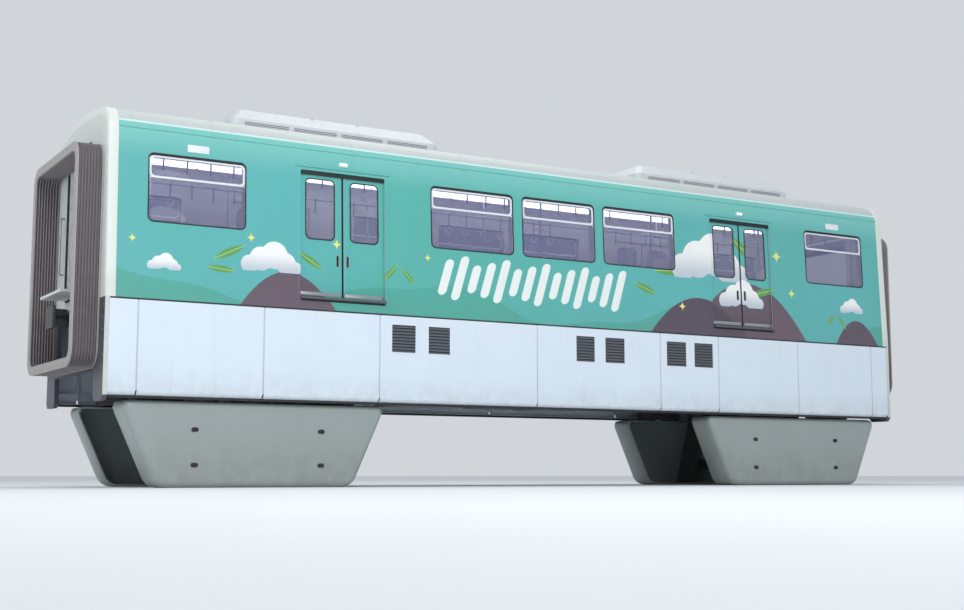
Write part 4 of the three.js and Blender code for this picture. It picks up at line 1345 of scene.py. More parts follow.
@dataclass(frozen=True)
class SideWindows:
    """The five windows of one side: glass in two panes, rubber, frames and sills."""

    side: Side
    spans: Rows = ((-6.418, -5.083), (-2.23, -0.833), (-0.66, 0.66), (0.833, 2.23), (5.083, 6.418))
    boards: Rows = ((-6.418, -5.083), (-2.23, 2.23), (5.083, 6.418))
    foot: float = 3.44
    top: float = 4.35
    corner: float = 0.07
    bar: float = 4.04
    pane: float = 0.006
    # Distances from the car's middle
    lower_pane: float = 1.432
    upper_pane: float = 1.436
    vent: float = 1.43
    lining: float = 1.337

    def each(self, build: Callable[[float], Surface], height: float, level: float) -> Surface:
        """The same shape at every window, built for its width and put at a height and a distance."""
        return spanned(self.spans, build, height, level)

    def frames(self, out: float, into: float, level: float) -> Surface:
        """A frame round every window that reaches out beyond it and into it."""
        tall, middle = self.top - self.foot, (self.top + self.foot) / 2
        return self.each(lambda w: border((w, tall, self.corner), out, into, 0.012, 0.004), middle, level)

    def glass(self, low: float, high: float) -> Surface:
        """The lower and the upper pane of every window.

        Args:
            low: height of the window below its bar.
            high: height above it.

        Returns:
            The closed surfaces.
        """
        thick, under, above = self.pane, self.foot + low / 2, (self.bar + self.top) / 2
        return joined([
            self.each(lambda w: slab(w - 0.02, low, thick, 0.06, 0.001, 6), under, self.lower_pane),
            self.each(lambda w: slab(w - 0.05, high - 0.03, thick, 0.04, 0.001, 6), above, self.upper_pane),
        ])

    def sashes(self, tall: float) -> Surface:
        """The vents' frames, their lower rails and their latches.

        Args:
            tall: height of a vent's clear opening.

        Returns:
            The closed surfaces.
        """
        latch, out = slab(0.05, 0.018, 0.014, 0.006), self.vent
        middle = self.bar + 0.014 + tall / 2
        return joined([
            self.each(lambda w: border((w - 0.076, tall, 0.045), 0.03, 0.0, 0.016), middle, out),
            self.each(lambda w: slab(w - 0.03, 0.012, 0.01, 0.005), self.bar - 0.011, out + 0.013),
            self.each(lambda w: latch.at((-0.3 * w, 0.3 * w)), self.top - 0.042, out - 0.02),
        ])

    def build(self) -> None:
        """Makes the side's window pieces."""
        word, rule, out = self.side.word, self.side.leaning, BODY.half_width
        low, high = self.bar - self.foot, self.top - self.bar
        nodes = [f"window_{place}_{word}" for place in ("front", "middle", "rear")]
        piece(f"window_glass_{word}", (self.glass(low, high), Paint.GLASS), rule=rule, replaces=nodes)
        # Dark strip along each window's top: the gasket's top edge, made dark as a painted shadow under the
        # window head.
        bars = self.each(lambda w: slab(w - 0.06, 0.03, 0.016, 0.01, 0.004), self.top - 0.012, out - 0.013)
        rubbers = joined([self.frames(0.01, 0.008, out - 0.008), bars]), Paint.RUBBER
        piece(f"window_rubbers_{word}", rubbers, rule=rule)
        piece(f"vent_frames_{word}", (self.sashes(high - 0.066), Paint.WHITE), rule=rule)
        sills = [brick((a, 3.415, 1.31), (b, 3.454, 1.3445), 0.008) for a, b in self.boards]
        lining = joined([*sills, self.frames(0.025, 0.015, self.lining)])
        piece(f"window_linings_{word}", (lining, Paint.LINING), rule=rule)


@dataclass(frozen=True)
class Portals:
    """The trim of one side's two doorways, and the small plates on the wall."""

    side: Side
    half: float = 0.65
    top: float = 4.37
    lamp_height: float = 4.499
    plates_x: Numbers = (-5.75, 5.75)
    plate_height: float = 4.47
    seal_height: float = 2.546
    track: float = 1.421
    # Two corners each, of a sill's board and of one of its ribs
    board: Rows = ((-0.643, 2.5615, 1.335), (0.643, 2.5895, 1.489))
    rib: Rows = ((-0.62, 2.5885, -0.003), (0.62, 2.5915, 0.003))
    # The first rib's distance, where the ribs end, and their step
    ribs: Numbers = (1.44, 1.482, 0.012)

    def build(self) -> None:
        """Makes the doorways' pieces: frames, hoods, dark track covers that paint the shadow under the hoods,
        lamps, ribbed sills and blank plates.
        """
        word, rule, wall = self.side.word, self.side.leaning, BODY.half_width
        both = spots((-DOOR_X, DOOR_X))
        height, width, lamp = self.top - BODY.floor, 2 * self.half, self.lamp_height
        ring = border((width, height, 0.03), 0.035, 0.002, 0.01, 0.004)
        hood = slab(width + 0.16, 0.018, 0.02, 0.008, 0.004).moved(0, self.top + 0.052, wall - 0.004)
        teal = joined([ring.moved(0, BODY.floor + height / 2, wall - 0.006), hood]).copied(both)
        # Dark strip across each doorway's top: a track cover, made dark as a painted shadow under the hood.
        cover = slab(width - 0.012, 0.055, 0.022, 0.006).moved(0, self.top - 0.03, self.track)
        seal = slab(width - 0.02, 0.026, 0.012, 0.006).moved(0, self.seal_height, wall - 0.006)
        dark = joined([cover, seal]).copied(both)
        piece(f"door_surrounds_{word}", (teal, Paint.WRAP), (dark, Paint.RUBBER), rule=rule)
        box = slab(0.14, 0.062, 0.016, 0.02, 0.005).moved(0, lamp, wall - 0.004).copied(both)
        lens = slab(0.116, 0.04, 0.014, 0.016, 0.006).moved(0, lamp, wall + 0.008).copied(both)
        piece(f"door_lamps_{word}", (box, Paint.WHITE), (lens, Paint.MARKER), rule=rule)
        ribs = brick(*self.rib, 0.001).at(0, 0, np.arange(*self.ribs))
        sill = joined([brick(*self.board, 0.004), ribs]).copied(both)
        piece(f"door_sills_{word}", (sill, Paint.STEEL), rule=self.side.upright)
        places = spots(self.plates_x, self.plate_height, wall - 0.001)
        plates = slab(0.3, 0.1, 0.006, 0.015, 0.002).copied(places)
        piece(f"blank_plates_{word}", (plates, Paint.WHITE), rule=rule)


@dataclass(frozen=True)
class DoorLeaf:
    """One sliding leaf with its rounded pane. Drawn with its closing edge towards its neighbour."""

    side: Side
    end: End
    forward: bool
    width: float = 0.666
    foot: float = 2.597
    top: float = 4.394
    back: float = 1.3825
    face: float = 1.4135
    pane: Numbers = (0.44, 3.405, 4.265)
    from_door: float = 0.339
    grip: Numbers = (-0.262, 3.12)

    def place(self, points: Array) -> Array:
        """Puts points drawn about the leaf's middle, closing edge at -u, at their place on the car.

        Args:
            points: the points.

        Returns:
            The moved points.
        """
        facing = (1 if self.forward else -1) * self.side.value
        middle = DOOR_X * self.end.value * self.side.value + facing * self.from_door
        return self.side.leaning(points * np.array([facing, 1, 1]) + np.array([middle, 0, 0]))

    def trim(self, inner: Numbers, hole: float) -> list[Part]:
        """The pane's rubber and the edge's, the grip and the wear strip.

        Args:
            inner: width, height and corner radius of the pane's hole.
            hole: height of its middle.

        Returns:
            The surfaces with their finishes.
        """
        edge, face, grip = -self.width / 2, self.face, self.grip
        ring = border(inner, 0.006, 0.011, 0.008).moved(0, hole, face - 0.004)
        low = (edge - 0.0015, self.foot + 0.01, self.back + 0.002)
        strip = brick(low, (edge + 0.009, self.top - 0.01, face + 0.002))
        rim = border((0.034, 0.154, 0.0165), 0.008, 0.0, 0.005, 0.002).moved(*grip, face - 0.002)
        wear = slab(self.width - 0.05, 0.05, 0.003, 0.012, 0.0012)
        wear = wear.moved(0.006, self.foot + 0.045, face - 0.0005)
        # Painted shade: the dark cup behind the grip stands in for the shadow in its recess.
        shade_cup = slab(0.036, 0.156, 0.002, 0.0175, 0.0008).moved(*grip, face - 0.001)
        rubber, steel = joined([ring, strip]), joined([rim, wear])
        return [(rubber, Paint.RUBBER), (steel, Paint.STEEL), (shade_cup, Paint.HOLLOW)]

    def build(self) -> None:
        """Makes the leaf's panel, its trim and its pane, on the leaf's own body."""
        label = f"{self.end.word}_{self.side.word}_{'forward' if self.forward else 'rearward'}"
        body = f"door_{label}"
        width, low, high = self.pane
        tall, middle, hole = self.top - self.foot, (self.foot + self.top) / 2, (low + high) / 2
        outer, inner = (self.width, tall, 0.012), (width, high - low, 0.075)
        panel = ring_slab(outer, inner, self.face - self.back, 0.003, hole - middle)
        panel = panel.moved(0, middle, self.back), Paint.LEAF
        piece(f"leaf_{label}", panel, rule=self.place, body=body, replaces=[body])
        piece(f"leaf_trim_{label}", *self.trim(inner, hole), rule=self.place, body=body)
        glass = slab(width - 0.006, high - low - 0.006, 0.006, 0.07, 0.001, 8)
        glass = glass.moved(0, hole, self.face - 0.012), Paint.DOOR_GLASS
        piece(f"leaf_glass_{label}", glass, rule=self.place, body=body)


@dataclass(frozen=True)
class Skirt:
    """One side's skirt: panels between joints with a turned-in foot, a rubber edge, and louvred grilles."""

    side: Side
    seams: Numbers = (-6.52, -4.8, -3.07, -0.44, 1.88, 3.07, 4.8, 6.52)
    grilles: Rows = (
        (-2.886, -2.501), (-2.3, -1.94), (0.262, 0.612), (0.804, 1.18), (2.0, 2.4), (2.56, 2.95)
    )
    blade: Rows = (
        (0.02, -0.026), (-0.016, -0.001), (-0.022, 0.001), (-0.022, 0.0035), (-0.014, 0.0035),
        (0.022, -0.022),
    )
    length: float = 6.8895
    reach: float = 6.86
    foot: float = 1.17
    top: float = 2.398
    out: float = 1.449
    sheet: float = 0.012
    bend: float = 0.065
    gap: float = 0.01
    low: float = 1.88
    high: float = 2.28
    rail_height: float = 1.32
    latch_height: float = 1.36
    blades: int = 9

    def folded(self, points: Array) -> Array:
        """Wraps a flat sheet round the foot's bend.

        v is the length along the section from the foot's lip. Within the bend the angle is v over the radius
        and the point is the bend's centre plus the radius times (sin, -cos). Above it the sheet is upright.

        Args:
            points: the flat sheet's points.

        Returns:
            The folded sheet's points.
        """
        u, v, w = points.T
        angle = np.clip(v / self.bend, 0, QUARTER)
        radius = self.bend + w - self.sheet
        height = self.foot + self.bend - radius * np.cos(angle) + np.maximum(v - self.bend * QUARTER, 0)
        return np.stack([u, height, self.out - self.bend + radius * np.sin(angle)], -1)

    def panels(self) -> Surface:
        """Every panel, a pierced sheet with a hole for each of its grilles.

        Returns:
            The closed surfaces.
        """
        round_bend = self.bend * QUARTER
        above = np.array([self.low, self.high, self.top]) - self.foot - self.bend + round_bend
        rows = np.append(np.linspace(0, round_bend, 8), above)
        edges = (-self.length, *self.seams, self.length)
        sheets = []
        for left, right in zip(edges[:-1], edges[1:]):
            start = left + (self.gap if left > -self.length else 0)
            stop = right - (self.gap if right < self.length else 0)
            holes = [value for grille in self.grilles if start < grille[0] < stop for value in grille]
            solid = np.ones((len(rows) - 1, len(holes) + 1), bool)
            solid[-2, 1::2] = not holes
            sheets.append(pierced(np.array([start, *holes, stop]), rows, solid, self.sheet))
        return joined(sheets).mapped(self.folded)

    def backing(self) -> Surface:
        """Stiffeners behind the joints, fillers in them, and rails along the foot and the top.

        Returns:
            The closed surfaces.
        """
        low, reach = self.foot + 0.06, self.reach
        posts = brick((-0.03, low, 1.4), (0.03, self.top - 0.01, 1.4365))
        fillers = brick((-0.0096, low, 1.436), (0.0096, self.top - 0.004, 1.4455), 0.001)
        rail = brick((-reach, -0.02, 1.405), (reach, 0.02, 1.437), 0.004)
        rails = rail.at(0, (self.rail_height, self.top - 0.03))
        return joined([joined([posts, fillers]).at(self.seams), rails])

    def louvres(self) -> Surface:
        """Slanting blades in each grille, each with a lip at its foot.

        Returns:
            The closed surfaces.
        """
        heights = self.low + (self.high - self.low) / self.blades * (np.arange(self.blades) + 0.5)
        places = spots(0, heights, self.out - 0.004)
        return joined([along_car(self.blade, a, b).copied(places) for a, b in self.grilles])

    def build(self) -> None:
        """Makes the skirt's pieces."""
        word, rule, reach = self.side.word, self.side.upright, self.reach
        tall, middle = self.high - self.low, (self.high + self.low) / 2
        sheet = self.panels(), Paint.SKIRT
        panels = piece(f"skirt_panels_{word}", sheet, rule=rule, replaces=[f"skirt_{word}"])
        soft = panels.modifiers.new("soft_edges", "BEVEL")
        soft.width, soft.segments, soft.angle_limit = 0.003, 2, math.radians(40)
        spans, out = self.grilles, self.out
        rims = spanned(
            spans, lambda w: border((w, tall, 0.014), 0.015, 0.006, 0.007, 0.002), middle, out - 0.004
        )
        # Painted shade: dark sheets behind the grilles stand in for the shadow behind the louvres.
        shade_wells = spanned(spans, lambda w: slab(w + 0.02, tall + 0.02, 0.004, 0.003), middle, out - 0.04)
        beside = np.add.outer(self.seams, (-0.11, 0.11)).ravel()
        places = spots(beside, (self.top - 0.09, self.latch_height), self.out - 0.001)
        latches = domes(places, 0.017, 0.004, 14)
        edge = brick((-reach, 1.136, 1.388), (reach, 1.1765, 1.402), 0.005)
        piece(f"skirt_trim_{word}", (joined([rims, latches]), Paint.SKIRT), (edge, Paint.RUBBER), rule=rule)
        grilles = (self.louvres(), Paint.LOUVRE), (shade_wells, Paint.HOLLOW), (self.backing(), Paint.SEAM)
        piece(f"skirt_grilles_{word}", *grilles, rule=rule)


@dataclass(frozen=True)
class EndWall:
    """One end of the body: the smooth frame round it, doorway trim, apron bolts, handrails and the tread."""

    end: End
    ring: float = 0.11
    half: float = 0.55
    top: float = 4.54
    bolt_y: Numbers = (-1.38, -1.05, 1.05, 1.38)
    opening: float = 1.595
    grip: Rows = ((0.74, 2.95, -0.01), (0.74, 2.95, 0.06), (0.74, 3.75, 0.06), (0.74, 3.75, -0.01))

    def frame(self) -> Surface:
        """The end frame, following the body's section from foot to foot.

        Each station along X is the section's outer line moved along its own directions; the inner edge is
        the same line moved in by the frame's depth.

        Returns:
            The closed surface.
        """
        line, out = BODY.arch()
        stations = [(6.8215, -0.002), (6.8245, 0.0015), (6.94, 0.0015), (6.948, -0.001), (6.951, -0.006)]
        stations += [(6.951, -self.ring), (6.90, -self.ring - 0.004), (6.8215, -self.ring)]
        rows = [np.column_stack([np.full(len(line), x), line + out * depth]) for x, depth in stations]
        return lofted(np.stack(rows, 1))

    def bolts(self) -> Surface:
        """Bolt heads on the aprons and under the coupler's opening.

        Returns:
            The closed surfaces.
        """
        places = spots(self.bolt_y, np.arange(1.2, 2.36, 0.16))
        below = spots(np.arange(-0.84, 0.85, 0.24), self.opening)
        return domes(np.concatenate([places, below]), 0.014, 0.008, 6)

    def tread(self) -> Surface:
        """A chequered plate on the gangway's floor.

        Returns:
            The closed surfaces.
        """
        plate = brick((-0.54, BODY.floor - 0.002, 0.0), (0.54, BODY.floor + 0.004, 0.33), 0.002)
        grid = spots(np.arange(-0.5, 0.51, 0.05), np.arange(0.03, 0.32, 0.05), BODY.floor + 0.0035)
        return joined([plate, domes(grid, 0.013, 0.003).mapped(UPRIGHT)]).moved(0, 0, 0.006)

    def build(self) -> None:
        """Makes the end's pieces over the CAD wall, which keeps its shape."""
        word, tall = self.end.word, self.top - BODY.floor
        piece(f"end_frame_{word}", (self.frame(), Paint.CREAM), rule=self.end.turn)
        seal = border((2 * self.half, tall, 0.045), 0.06, 0.005, 0.02, 0.005)
        grip = tube(bent(self.grip, 0.03), 0.014)
        steel = joined([grip, grip.scaled(-1, 1, 1), self.tread()])
        seal = seal.moved(0, BODY.floor + tall / 2, -0.004)
        trim = (seal, Paint.RUBBER), (self.bolts(), Paint.BOLT), (steel, Paint.STEEL)
        parts = [(surface.moved(0, 0, BODY.end_face), paint) for surface, paint in trim]
        piece(f"end_trim_{word}", *parts, rule=self.end.facing)


@dataclass(frozen=True)
class Bellows:
    """One half of a gangway bellows: pleats between a flange on the car and one on the coupling face."""

    end: End
    half: float = 1.2
    foot: float = 1.53
    top: float = 4.48
    corner: float = 0.26
    start: float = 6.951
    stop: float = 7.299
    depth: float = 0.055
    thick: float = 0.08
    pleats: int = 8

    @property
    def middle(self) -> float:
        """The height of its middle."""
        return (self.foot + self.top) / 2

    def outline(self, out: object) -> Array:
        """The gangway's outline, standing out by a distance."""
        return rounded(2 * (self.half + out), self.top - self.foot + 2 * out, self.corner + out, 8)

    def band(self, stations: Rows) -> Surface:
        """A closed band round the gangway through stations: places along X and how far each stands out."""
        x, out = np.array(stations).T
        return looped(lifted(self.outline(out), x)).moved(0, self.middle, 0)

    def pleated(self) -> Surface:
        """The pleats: the outline stands out by a sine along the car, and the inner face follows it.

        For each station the offset is minus the depth times (1 + cos of the pleat's phase) / 2, taken to the
        power 0.8 so that the crests are rounder than the valleys are narrow.

        Returns:
            The closed surface.
        """
        steps = self.pleats * 10
        phase = np.linspace(0, FULL * self.pleats, steps + 1)
        x = np.linspace(self.start + 0.02, self.stop - 0.018, steps + 1)
        outer = -self.depth * ((1 + np.cos(phase)) / 2) ** 0.8
        first, second = np.column_stack([x, outer - 0.002]), np.column_stack([x, outer - self.thick])
        return self.band(np.concatenate([first, second[::-1]]))

    def flange(self, low: float, high: float, out: float) -> Surface:
        """The plate that clamps the bellows at one end."""
        rim = [(low, out - 0.003), (low + 0.003, out), (high - 0.003, out), (high, out - 0.003)]
        return self.band([(low, out - 0.12), *rim, (high, out - 0.12)])

    def build(self) -> None:
        """Makes the bellows, its flanges and the bolt heads round the coupling face."""
        word, rule, pleats = self.end.word, self.end.facing, (self.pleated(), Paint.BELLOWS)
        nodes = [f"gangway_bellows_{word}"]
        piece(f"bellows_{word}", pleats, rule=rule, replaces=nodes, smooth_angle=50.0)
        near = self.flange(self.start, self.start + 0.024, 0.0)
        far = self.flange(self.stop - 0.022, self.stop, -0.002)
        places = lifted(evenly(self.outline(-0.045), 60)[None], [self.stop - 0.0015])[0]
        heads = domes(places, 0.012, 0.0045).moved(0, self.middle, 0)
        piece(f"bellows_flanges_{word}", (joined([near, far]), Paint.PIPING), (heads, Paint.BOLT), rule=rule)


@dataclass(frozen=True)
class AirConditioner:
    """One roof unit: a casing with sloping ends, side louvres and two fans."""

    end: End
    start: float = 1.85
    stop: float = 5.15
    half: float = 0.95
    foot: float = 4.83
    shoulder: float = 5.09
    top: float = 5.268
    # Each row: share of the height over the shoulder, and how far the casing is drawn in there
    slope: Rows = (
        (-0.1, 0.0), (0.03, 0.004), (0.35, 0.063), (0.7, 0.126),
        (0.86, 0.156), (0.94, 0.17), (0.985, 0.182), (1.0, 0.197),
    )
    # Each row: how far the louvre's outline lies from the casing's side, and its height
    blade_line: Rows = ((-0.008, 0.01), (0.0035, -0.006), (0.0035, -0.012), (-0.008, -0.006))
    fans: Numbers = (2.65, 4.35)
    fan: float = 0.42
    sweep: float = 0.35
    blades: int = 7
    # The lowest slat's height, where the slats end, and their step
    slats: Numbers = (4.885, 5.07, 0.024)

    def casing(self) -> Surface:
        """The casing, a loft of rounded rectangles that draw in over the shoulder.

        Returns:
            The closed surface.
        """
        share, drawn = np.array([self.slope[0], *self.slope]).T
        height = self.shoulder + (self.top - self.shoulder) * share
        height[0] = self.foot
        outline = rounded(self.stop - self.start - 2 * drawn, 2 * (self.half - drawn), 0.12 - 0.2 * drawn, 6)
        return lofted(lifted(outline, height)).moved((self.start + self.stop) / 2, 0, 0)

    def louvres(self) -> Surface:
        """Slats along both sides in four bays.

        Returns:
            The closed surfaces.
        """
        blade = np.array(self.blade_line) * (-1, 1) - (self.half, 0)
        bays = [(a, a + 0.66) for a in np.arange(self.start + 0.22, self.stop - 0.7, 0.74)]
        rows = spots(0, 0, np.arange(*self.slats))
        return joined([along_car(blade, a, b).copied(rows) for a, b in bays]).paired()

    def guard(self) -> Surface:
        """The raised rim, the rings and the spokes over one fan, above w = 0.

        Returns:
            The closed surfaces.
        """
        far = self.fan
        rim = [(0.002, -0.004), (0.002, 0.022), (-0.006, 0.03), (-0.03, 0.03), (-0.036, 0.022)]
        rim = np.array([*rim, (-0.036, 0.004)]) + (far, 0)
        wires = [washer(r - 0.003, r + 0.003, 0.022, 0.028, 48) for r in np.arange(0.06, far - 0.05, 0.036)]
        spoke = tube([(0.04, 0, 0.026), (far - 0.02, 0, 0.026)], 0.004, 6)
        cap = turned([(0.05, 0.018), (0.05, 0.027), (0.04, 0.031)], 20)
        return joined([turned(rim, 48), *wires, self.round_about(spoke, 8), cap])

    def round_about(self, shape: Surface, count: int) -> Surface:
        """Copies of a shape turned evenly about w."""
        turns = [(math.cos(a), math.sin(a)) for a in np.arange(count) * FULL / count]
        return joined([shape.mapped(axes((c, s, 0), (-s, c, 0), (0, 0, 1))) for c, s in turns])

    def blade(self) -> Surface:
        """One swept fan blade.

        The place is the reach times (cos, sin) of an angle that is the sweep plus 0.6 times the share of the
        reach to the power 1.5, and the height grows evenly over the sweep.

        Returns:
            The closed surface.
        """
        sweep = np.linspace(-self.sweep, self.sweep, 5)[None]
        reach = np.linspace(0.06, self.fan - 0.05, 6)[:, None]
        turn = sweep + 0.6 * (reach / self.fan) ** 1.5
        height = 0.006 + 0.01 * (sweep + self.sweep) + 0 * reach
        top = np.stack([reach * np.cos(turn), reach * np.sin(turn), height], -1)
        return lofted(np.concatenate([top, top[:, ::-1] - np.array([0, 0, 0.003])], 1))

    def build(self) -> None:
        """Makes the unit: casing, hatch lid, lifting eyes and joint strips, and its fans and louvres."""
        word, rule, top, fan = self.end.word, self.end.turn, self.top, self.fan
        middle, centres = (self.start + self.stop) / 2, spots(self.fans, 0, top)
        lid = slab(0.62, 1.1, 0.012, 0.04, 0.004).moved(middle, 0, top - 0.002)
        eye = washer(0.012, 0.02, -0.004, 0.004, 12).mapped(UPRIGHT)
        eyes = eye.at((self.start + 0.26, self.stop - 0.26), (-0.6, 0.6), top + 0.008)
        strip = brick((-0.012, -0.8, top - 0.002), (0.012, 0.8, top + 0.003), 0.002)
        strips = strip.at((middle - 0.36, middle + 0.36))
        body = joined([self.casing(), lid, eyes, strips]), Paint.UNIT
        piece(f"air_unit_{word}", body, rule=rule, replaces=[f"air_conditioner_{word}"])
        # Painted shade: a dark disc under each fan stands in for the shadow in its opening.
        floor = turned([(fan - 0.034, 0.0005), (fan - 0.034, 0.003), (0.02, 0.003), (0.02, 0.0005)], 40)
        blades = self.round_about(self.blade(), self.blades).copied(centres)
        dark = (joined([self.louvres(), blades]), Paint.LOUVRE), (floor.copied(centres), Paint.HOLLOW)
        piece(f"air_unit_fans_{word}", *dark, (self.guard().copied(centres), Paint.CASE), rule=rule)


@dataclass(frozen=True)
class Wheel:
    """A rubber-tyred wheel, drawn about its own axle with its middle at w = 0."""

    radius: float
    width: float
    hub: float
    rim: float
    bore: float
    nuts: int
    grooves: Numbers = (-0.3, 0.0, 0.3)
    groove: float = 0.008
    groove_half: float = 0.007
    shoulder: float = 0.035
    nut: Rows = ((0.016, -0.01), (0.016, 0.016), (0.012, 0.02), (0.012, 0.032), (0.008, 0.034))

    def tyre(self) -> Surface:
        """The tyre, turned: round shoulders between flat walls, and grooves in the tread.

        The tread's radius is the wheel's, less the groove's depth within each groove.

        Returns:
            The closed surface.
        """
        half, round_edge = self.width / 2, self.shoulder
        wall = [(self.rim, 0.02 - half), (self.rim + 0.01, 0.006 - half), (self.radius - 0.09, -half)]
        edge = arc(self.radius - round_edge, round_edge - half, round_edge, -QUARTER, 0, 6)
        marks, depth = notches(np.array(self.grooves) * self.width, self.groove_half, self.groove)
        tread = np.column_stack([self.radius - depth, marks])
        return hoop(doubled(np.concatenate([wall, edge]), between=tread), 64)

    def centre(self) -> Surface:
        """The rim and the dished wheel disc, turned.

        Returns:
            The closed surface.
        """
        rim, hub = self.rim, self.hub
        front = [(rim + 0.004, -0.012), (rim - 0.012, -0.008), (rim - 0.022, -0.03), (rim - 0.035, -0.07)]
        front += [(hub + 0.03, -0.06), (hub, -0.05), (hub, -0.008), (hub - 0.012, 0.0), (self.bore, 0.0)]
        return hoop(doubled(np.array(front) + (0, self.width / 2)), 48)

    def studs(self) -> Surface:
        """Wheel nuts on both faces of the disc.

        Returns:
            The closed surfaces.
        """
        places = on_circle((self.rim + self.hub) / 2, self.nuts, self.width / 2 - 0.066)
        face = turned(self.nut, 6).copied(places)
        return joined([face, face.scaled(-1, 1, -1)])

    def parts(self, places: Rows, *steel: Surface) -> list[Part]:
        """The wheel at each place and its steel parts, each with its finish."""
        shapes = zip((self.tyre(), self.centre(), self.studs()), (Paint.TYRE, Paint.FRAME, Paint.BOLT))
        return [(shape.copied(places), paint) for shape, paint in shapes] + [(joined(steel), Paint.STEEL)]


RUNNING_WHEEL = Wheel(radius=0.503, width=0.296, hub=0.12, rim=0.3, bore=0.071, nuts=10)
SIDE_WHEEL = Wheel(radius=0.365, width=0.198, hub=0.09, rim=0.235, bore=0.044, nuts=8)


@dataclass(frozen=True)
class Bogie:
    """One bogie's wheels, covers and fittings. Drawn about the bogie's middle and then moved to its end."""

    end: End
    centre: float = 4.8
    axle_x: float = 0.75
    axle_z: float = 1.963
    side_x: float = 1.25
    side_y: float = 0.79
    # Each: the height of a side wheel and its spindle's top
    guide: Numbers = (1.23, 1.869)
    stabilise: Numbers = (0.35, 0.709)
    near: float = 0.87
    far: float = 1.345
    cover_top: float = 1.125
    half_top: float = 1.9
    half_foot: float = 1.39
    rounding: float = 0.085
    sheet: float = 0.02
    tyre_y: float = 0.235
    folds: Numbers = (2.165, 2.225, 2.285)
    # Places along the car, and heights
    holes: Rows = ((-0.895, 0.895), (0.29, 0.75))
    pipe: Rows = ((1.35, 0.47, 2.127), (0.4, 0.47, 2.127), (0.3, 0.52, 2.135))

    def place(self, points: Array) -> Array:
        """Moves points drawn about the front bogie's middle to this bogie."""
        return self.end.turn(points + np.array([self.centre, 0, 0]))

    def on_axle(self, x: float, sign: float = 1.0) -> Rule:
        """Lays what is drawn about w on an axle, rising to its left end or, with a sign of -1, its right."""
        return axes((0, 0, 1), (sign, 0, 0), (0, sign, 0), (x, 0, self.axle_z))

    def axle(self, name: str, x: float) -> None:
        """Makes one running axle: two tyres on their wheels, the axle tube and its collar.

        Args:
            name: the CAD node and body.
            x: its place from the bogie's middle.
        """
        seat = self.on_axle(x)
        shaft = turned(doubled([(0.06, -0.596), (0.069, -0.59), (0.069, -0.41), (0.071, -0.4)]), 28)
        collar = hoop(doubled([(0.069, -0.03), (0.11, -0.03), (0.115, -0.02)]), 28)
        parts = RUNNING_WHEEL.parts(spots(0, 0, (-self.tyre_y, self.tyre_y)), shaft, collar)
        piece(f"{name}_wheels", *parts, rule=lambda p: self.place(seat(p)), body=name, replaces=[name])

    def side_wheel(self, name: str, x: float, hand: int, z: float, top: float) -> None:
        """Makes one guide or stabilising wheel lying flat on its upright spindle.

        Args:
            name: the CAD node and body.
            x: its place from the bogie's middle.
            hand: 1 for the left side of a bogie drawn in front, -1 for the right.
            z: its height.
            top: the spindle's top.
        """
        place, tip = (x, hand * self.side_y, z), top - z
        foot = [(0.02, -0.118), (0.04, -0.112), (0.0445, -0.1)]
        spindle = turned([*foot, (0.0445, tip - 0.006), (0.038, tip - 0.001)], 24)
        cap = hoop([(0.0446, 0.095), (0.075, 0.095), (0.075, 0.108), (0.06, 0.118), (0.0446, 0.12)], 24)
        parts = SIDE_WHEEL.parts([(0, 0, 0)], spindle, cap)
        piece(f"{name}_wheel", *parts, rule=lambda p: self.place(p + place), body=name, replaces=[name])

    def outline(self, drawn: float) -> Array:
        """The cover's outline in X and Z, drawn in evenly, with round corners.

        The corners are those of a trapezoid whose sides are moved in along their own normals.

        Args:
            drawn: how far it is drawn in.

        Returns:
            Its points at even steps.
        """
        skew = (self.half_top - self.half_foot) / self.cover_top
        low, high = drawn, self.cover_top - drawn
        wide, narrow = (self.half_foot + skew * z - drawn * math.hypot(1, skew) for z in (high, low))
        corners = [(0.0, high), (-wide, high), (-narrow, low), (narrow, low), (wide, high), (0.0, high)]
        return evenly(bent(corners, max(0.15 - drawn, 0.03), 7)[:-1], 120)

    def tub(self) -> Surface:
        """One cover: a shallow dish over the side wheels, with its rim turned in.

        Rows run from the rim over the side and round the edge to the middle of the outer face. Every row is
        the cover's outline, a rounded trapezoid, drawn in by a distance and standing out by a width. Over
        the rounding the pair is the radius times (1 - cos, sin); on the face the outline shrinks.

        Returns:
            The open dish.
        """
        turn = np.linspace(0, QUARTER, 9)[1:]
        width = [self.near, self.near, self.near + 0.01, self.far - self.rounding]
        width = np.append(width, self.far - self.rounding * (1 - np.sin(turn)))
        drawn = np.append([0.032, 0.012, 0.0, 0.0], self.rounding * (1 - np.cos(turn)))
        outlines = np.stack([self.outline(d) for d in drawn])
        middle, shrink = np.array([0.0, 0.56]), np.linspace(0.9, 0.1, 9)
        face = middle + (outlines[-1] - middle) * shrink[:, None, None]
        across = np.append(width, self.far + 0.006 * (1 - shrink**2))
        return lofted(lifted(np.concatenate([outlines, face]), across), open_start=True)

    def cover(self, side: Side) -> None:
        """Makes the cover of one side, with rims round its four hand holes.

        Args:
            side: which side of the car.
        """
        label, body = f"{self.end.word}_{side.word}", f"bogie_{self.end.word}"
        nodes, out = [f"bogie_cover_{label}"], axes((1, 0, 0), (0, 0, 1), (0, self.hand(side), 0))
        tub = self.tub().mapped(out), Paint.COVER
        more = {"rule": self.place, "body": body}
        cover = piece(f"side_cover_{label}", tub, replaces=nodes, smooth_angle=60.0, **more)
        thicken = cover.modifiers.new("sheet", "SOLIDIFY")
        thicken.thickness, thicken.offset = self.sheet, -1
        holes = spots(*self.holes, self.far - 0.004)
        rims = border((0.1, 0.06, 0.028), 0.014, 0.0, 0.013, 0.004).copied(holes).mapped(out), Paint.COVER
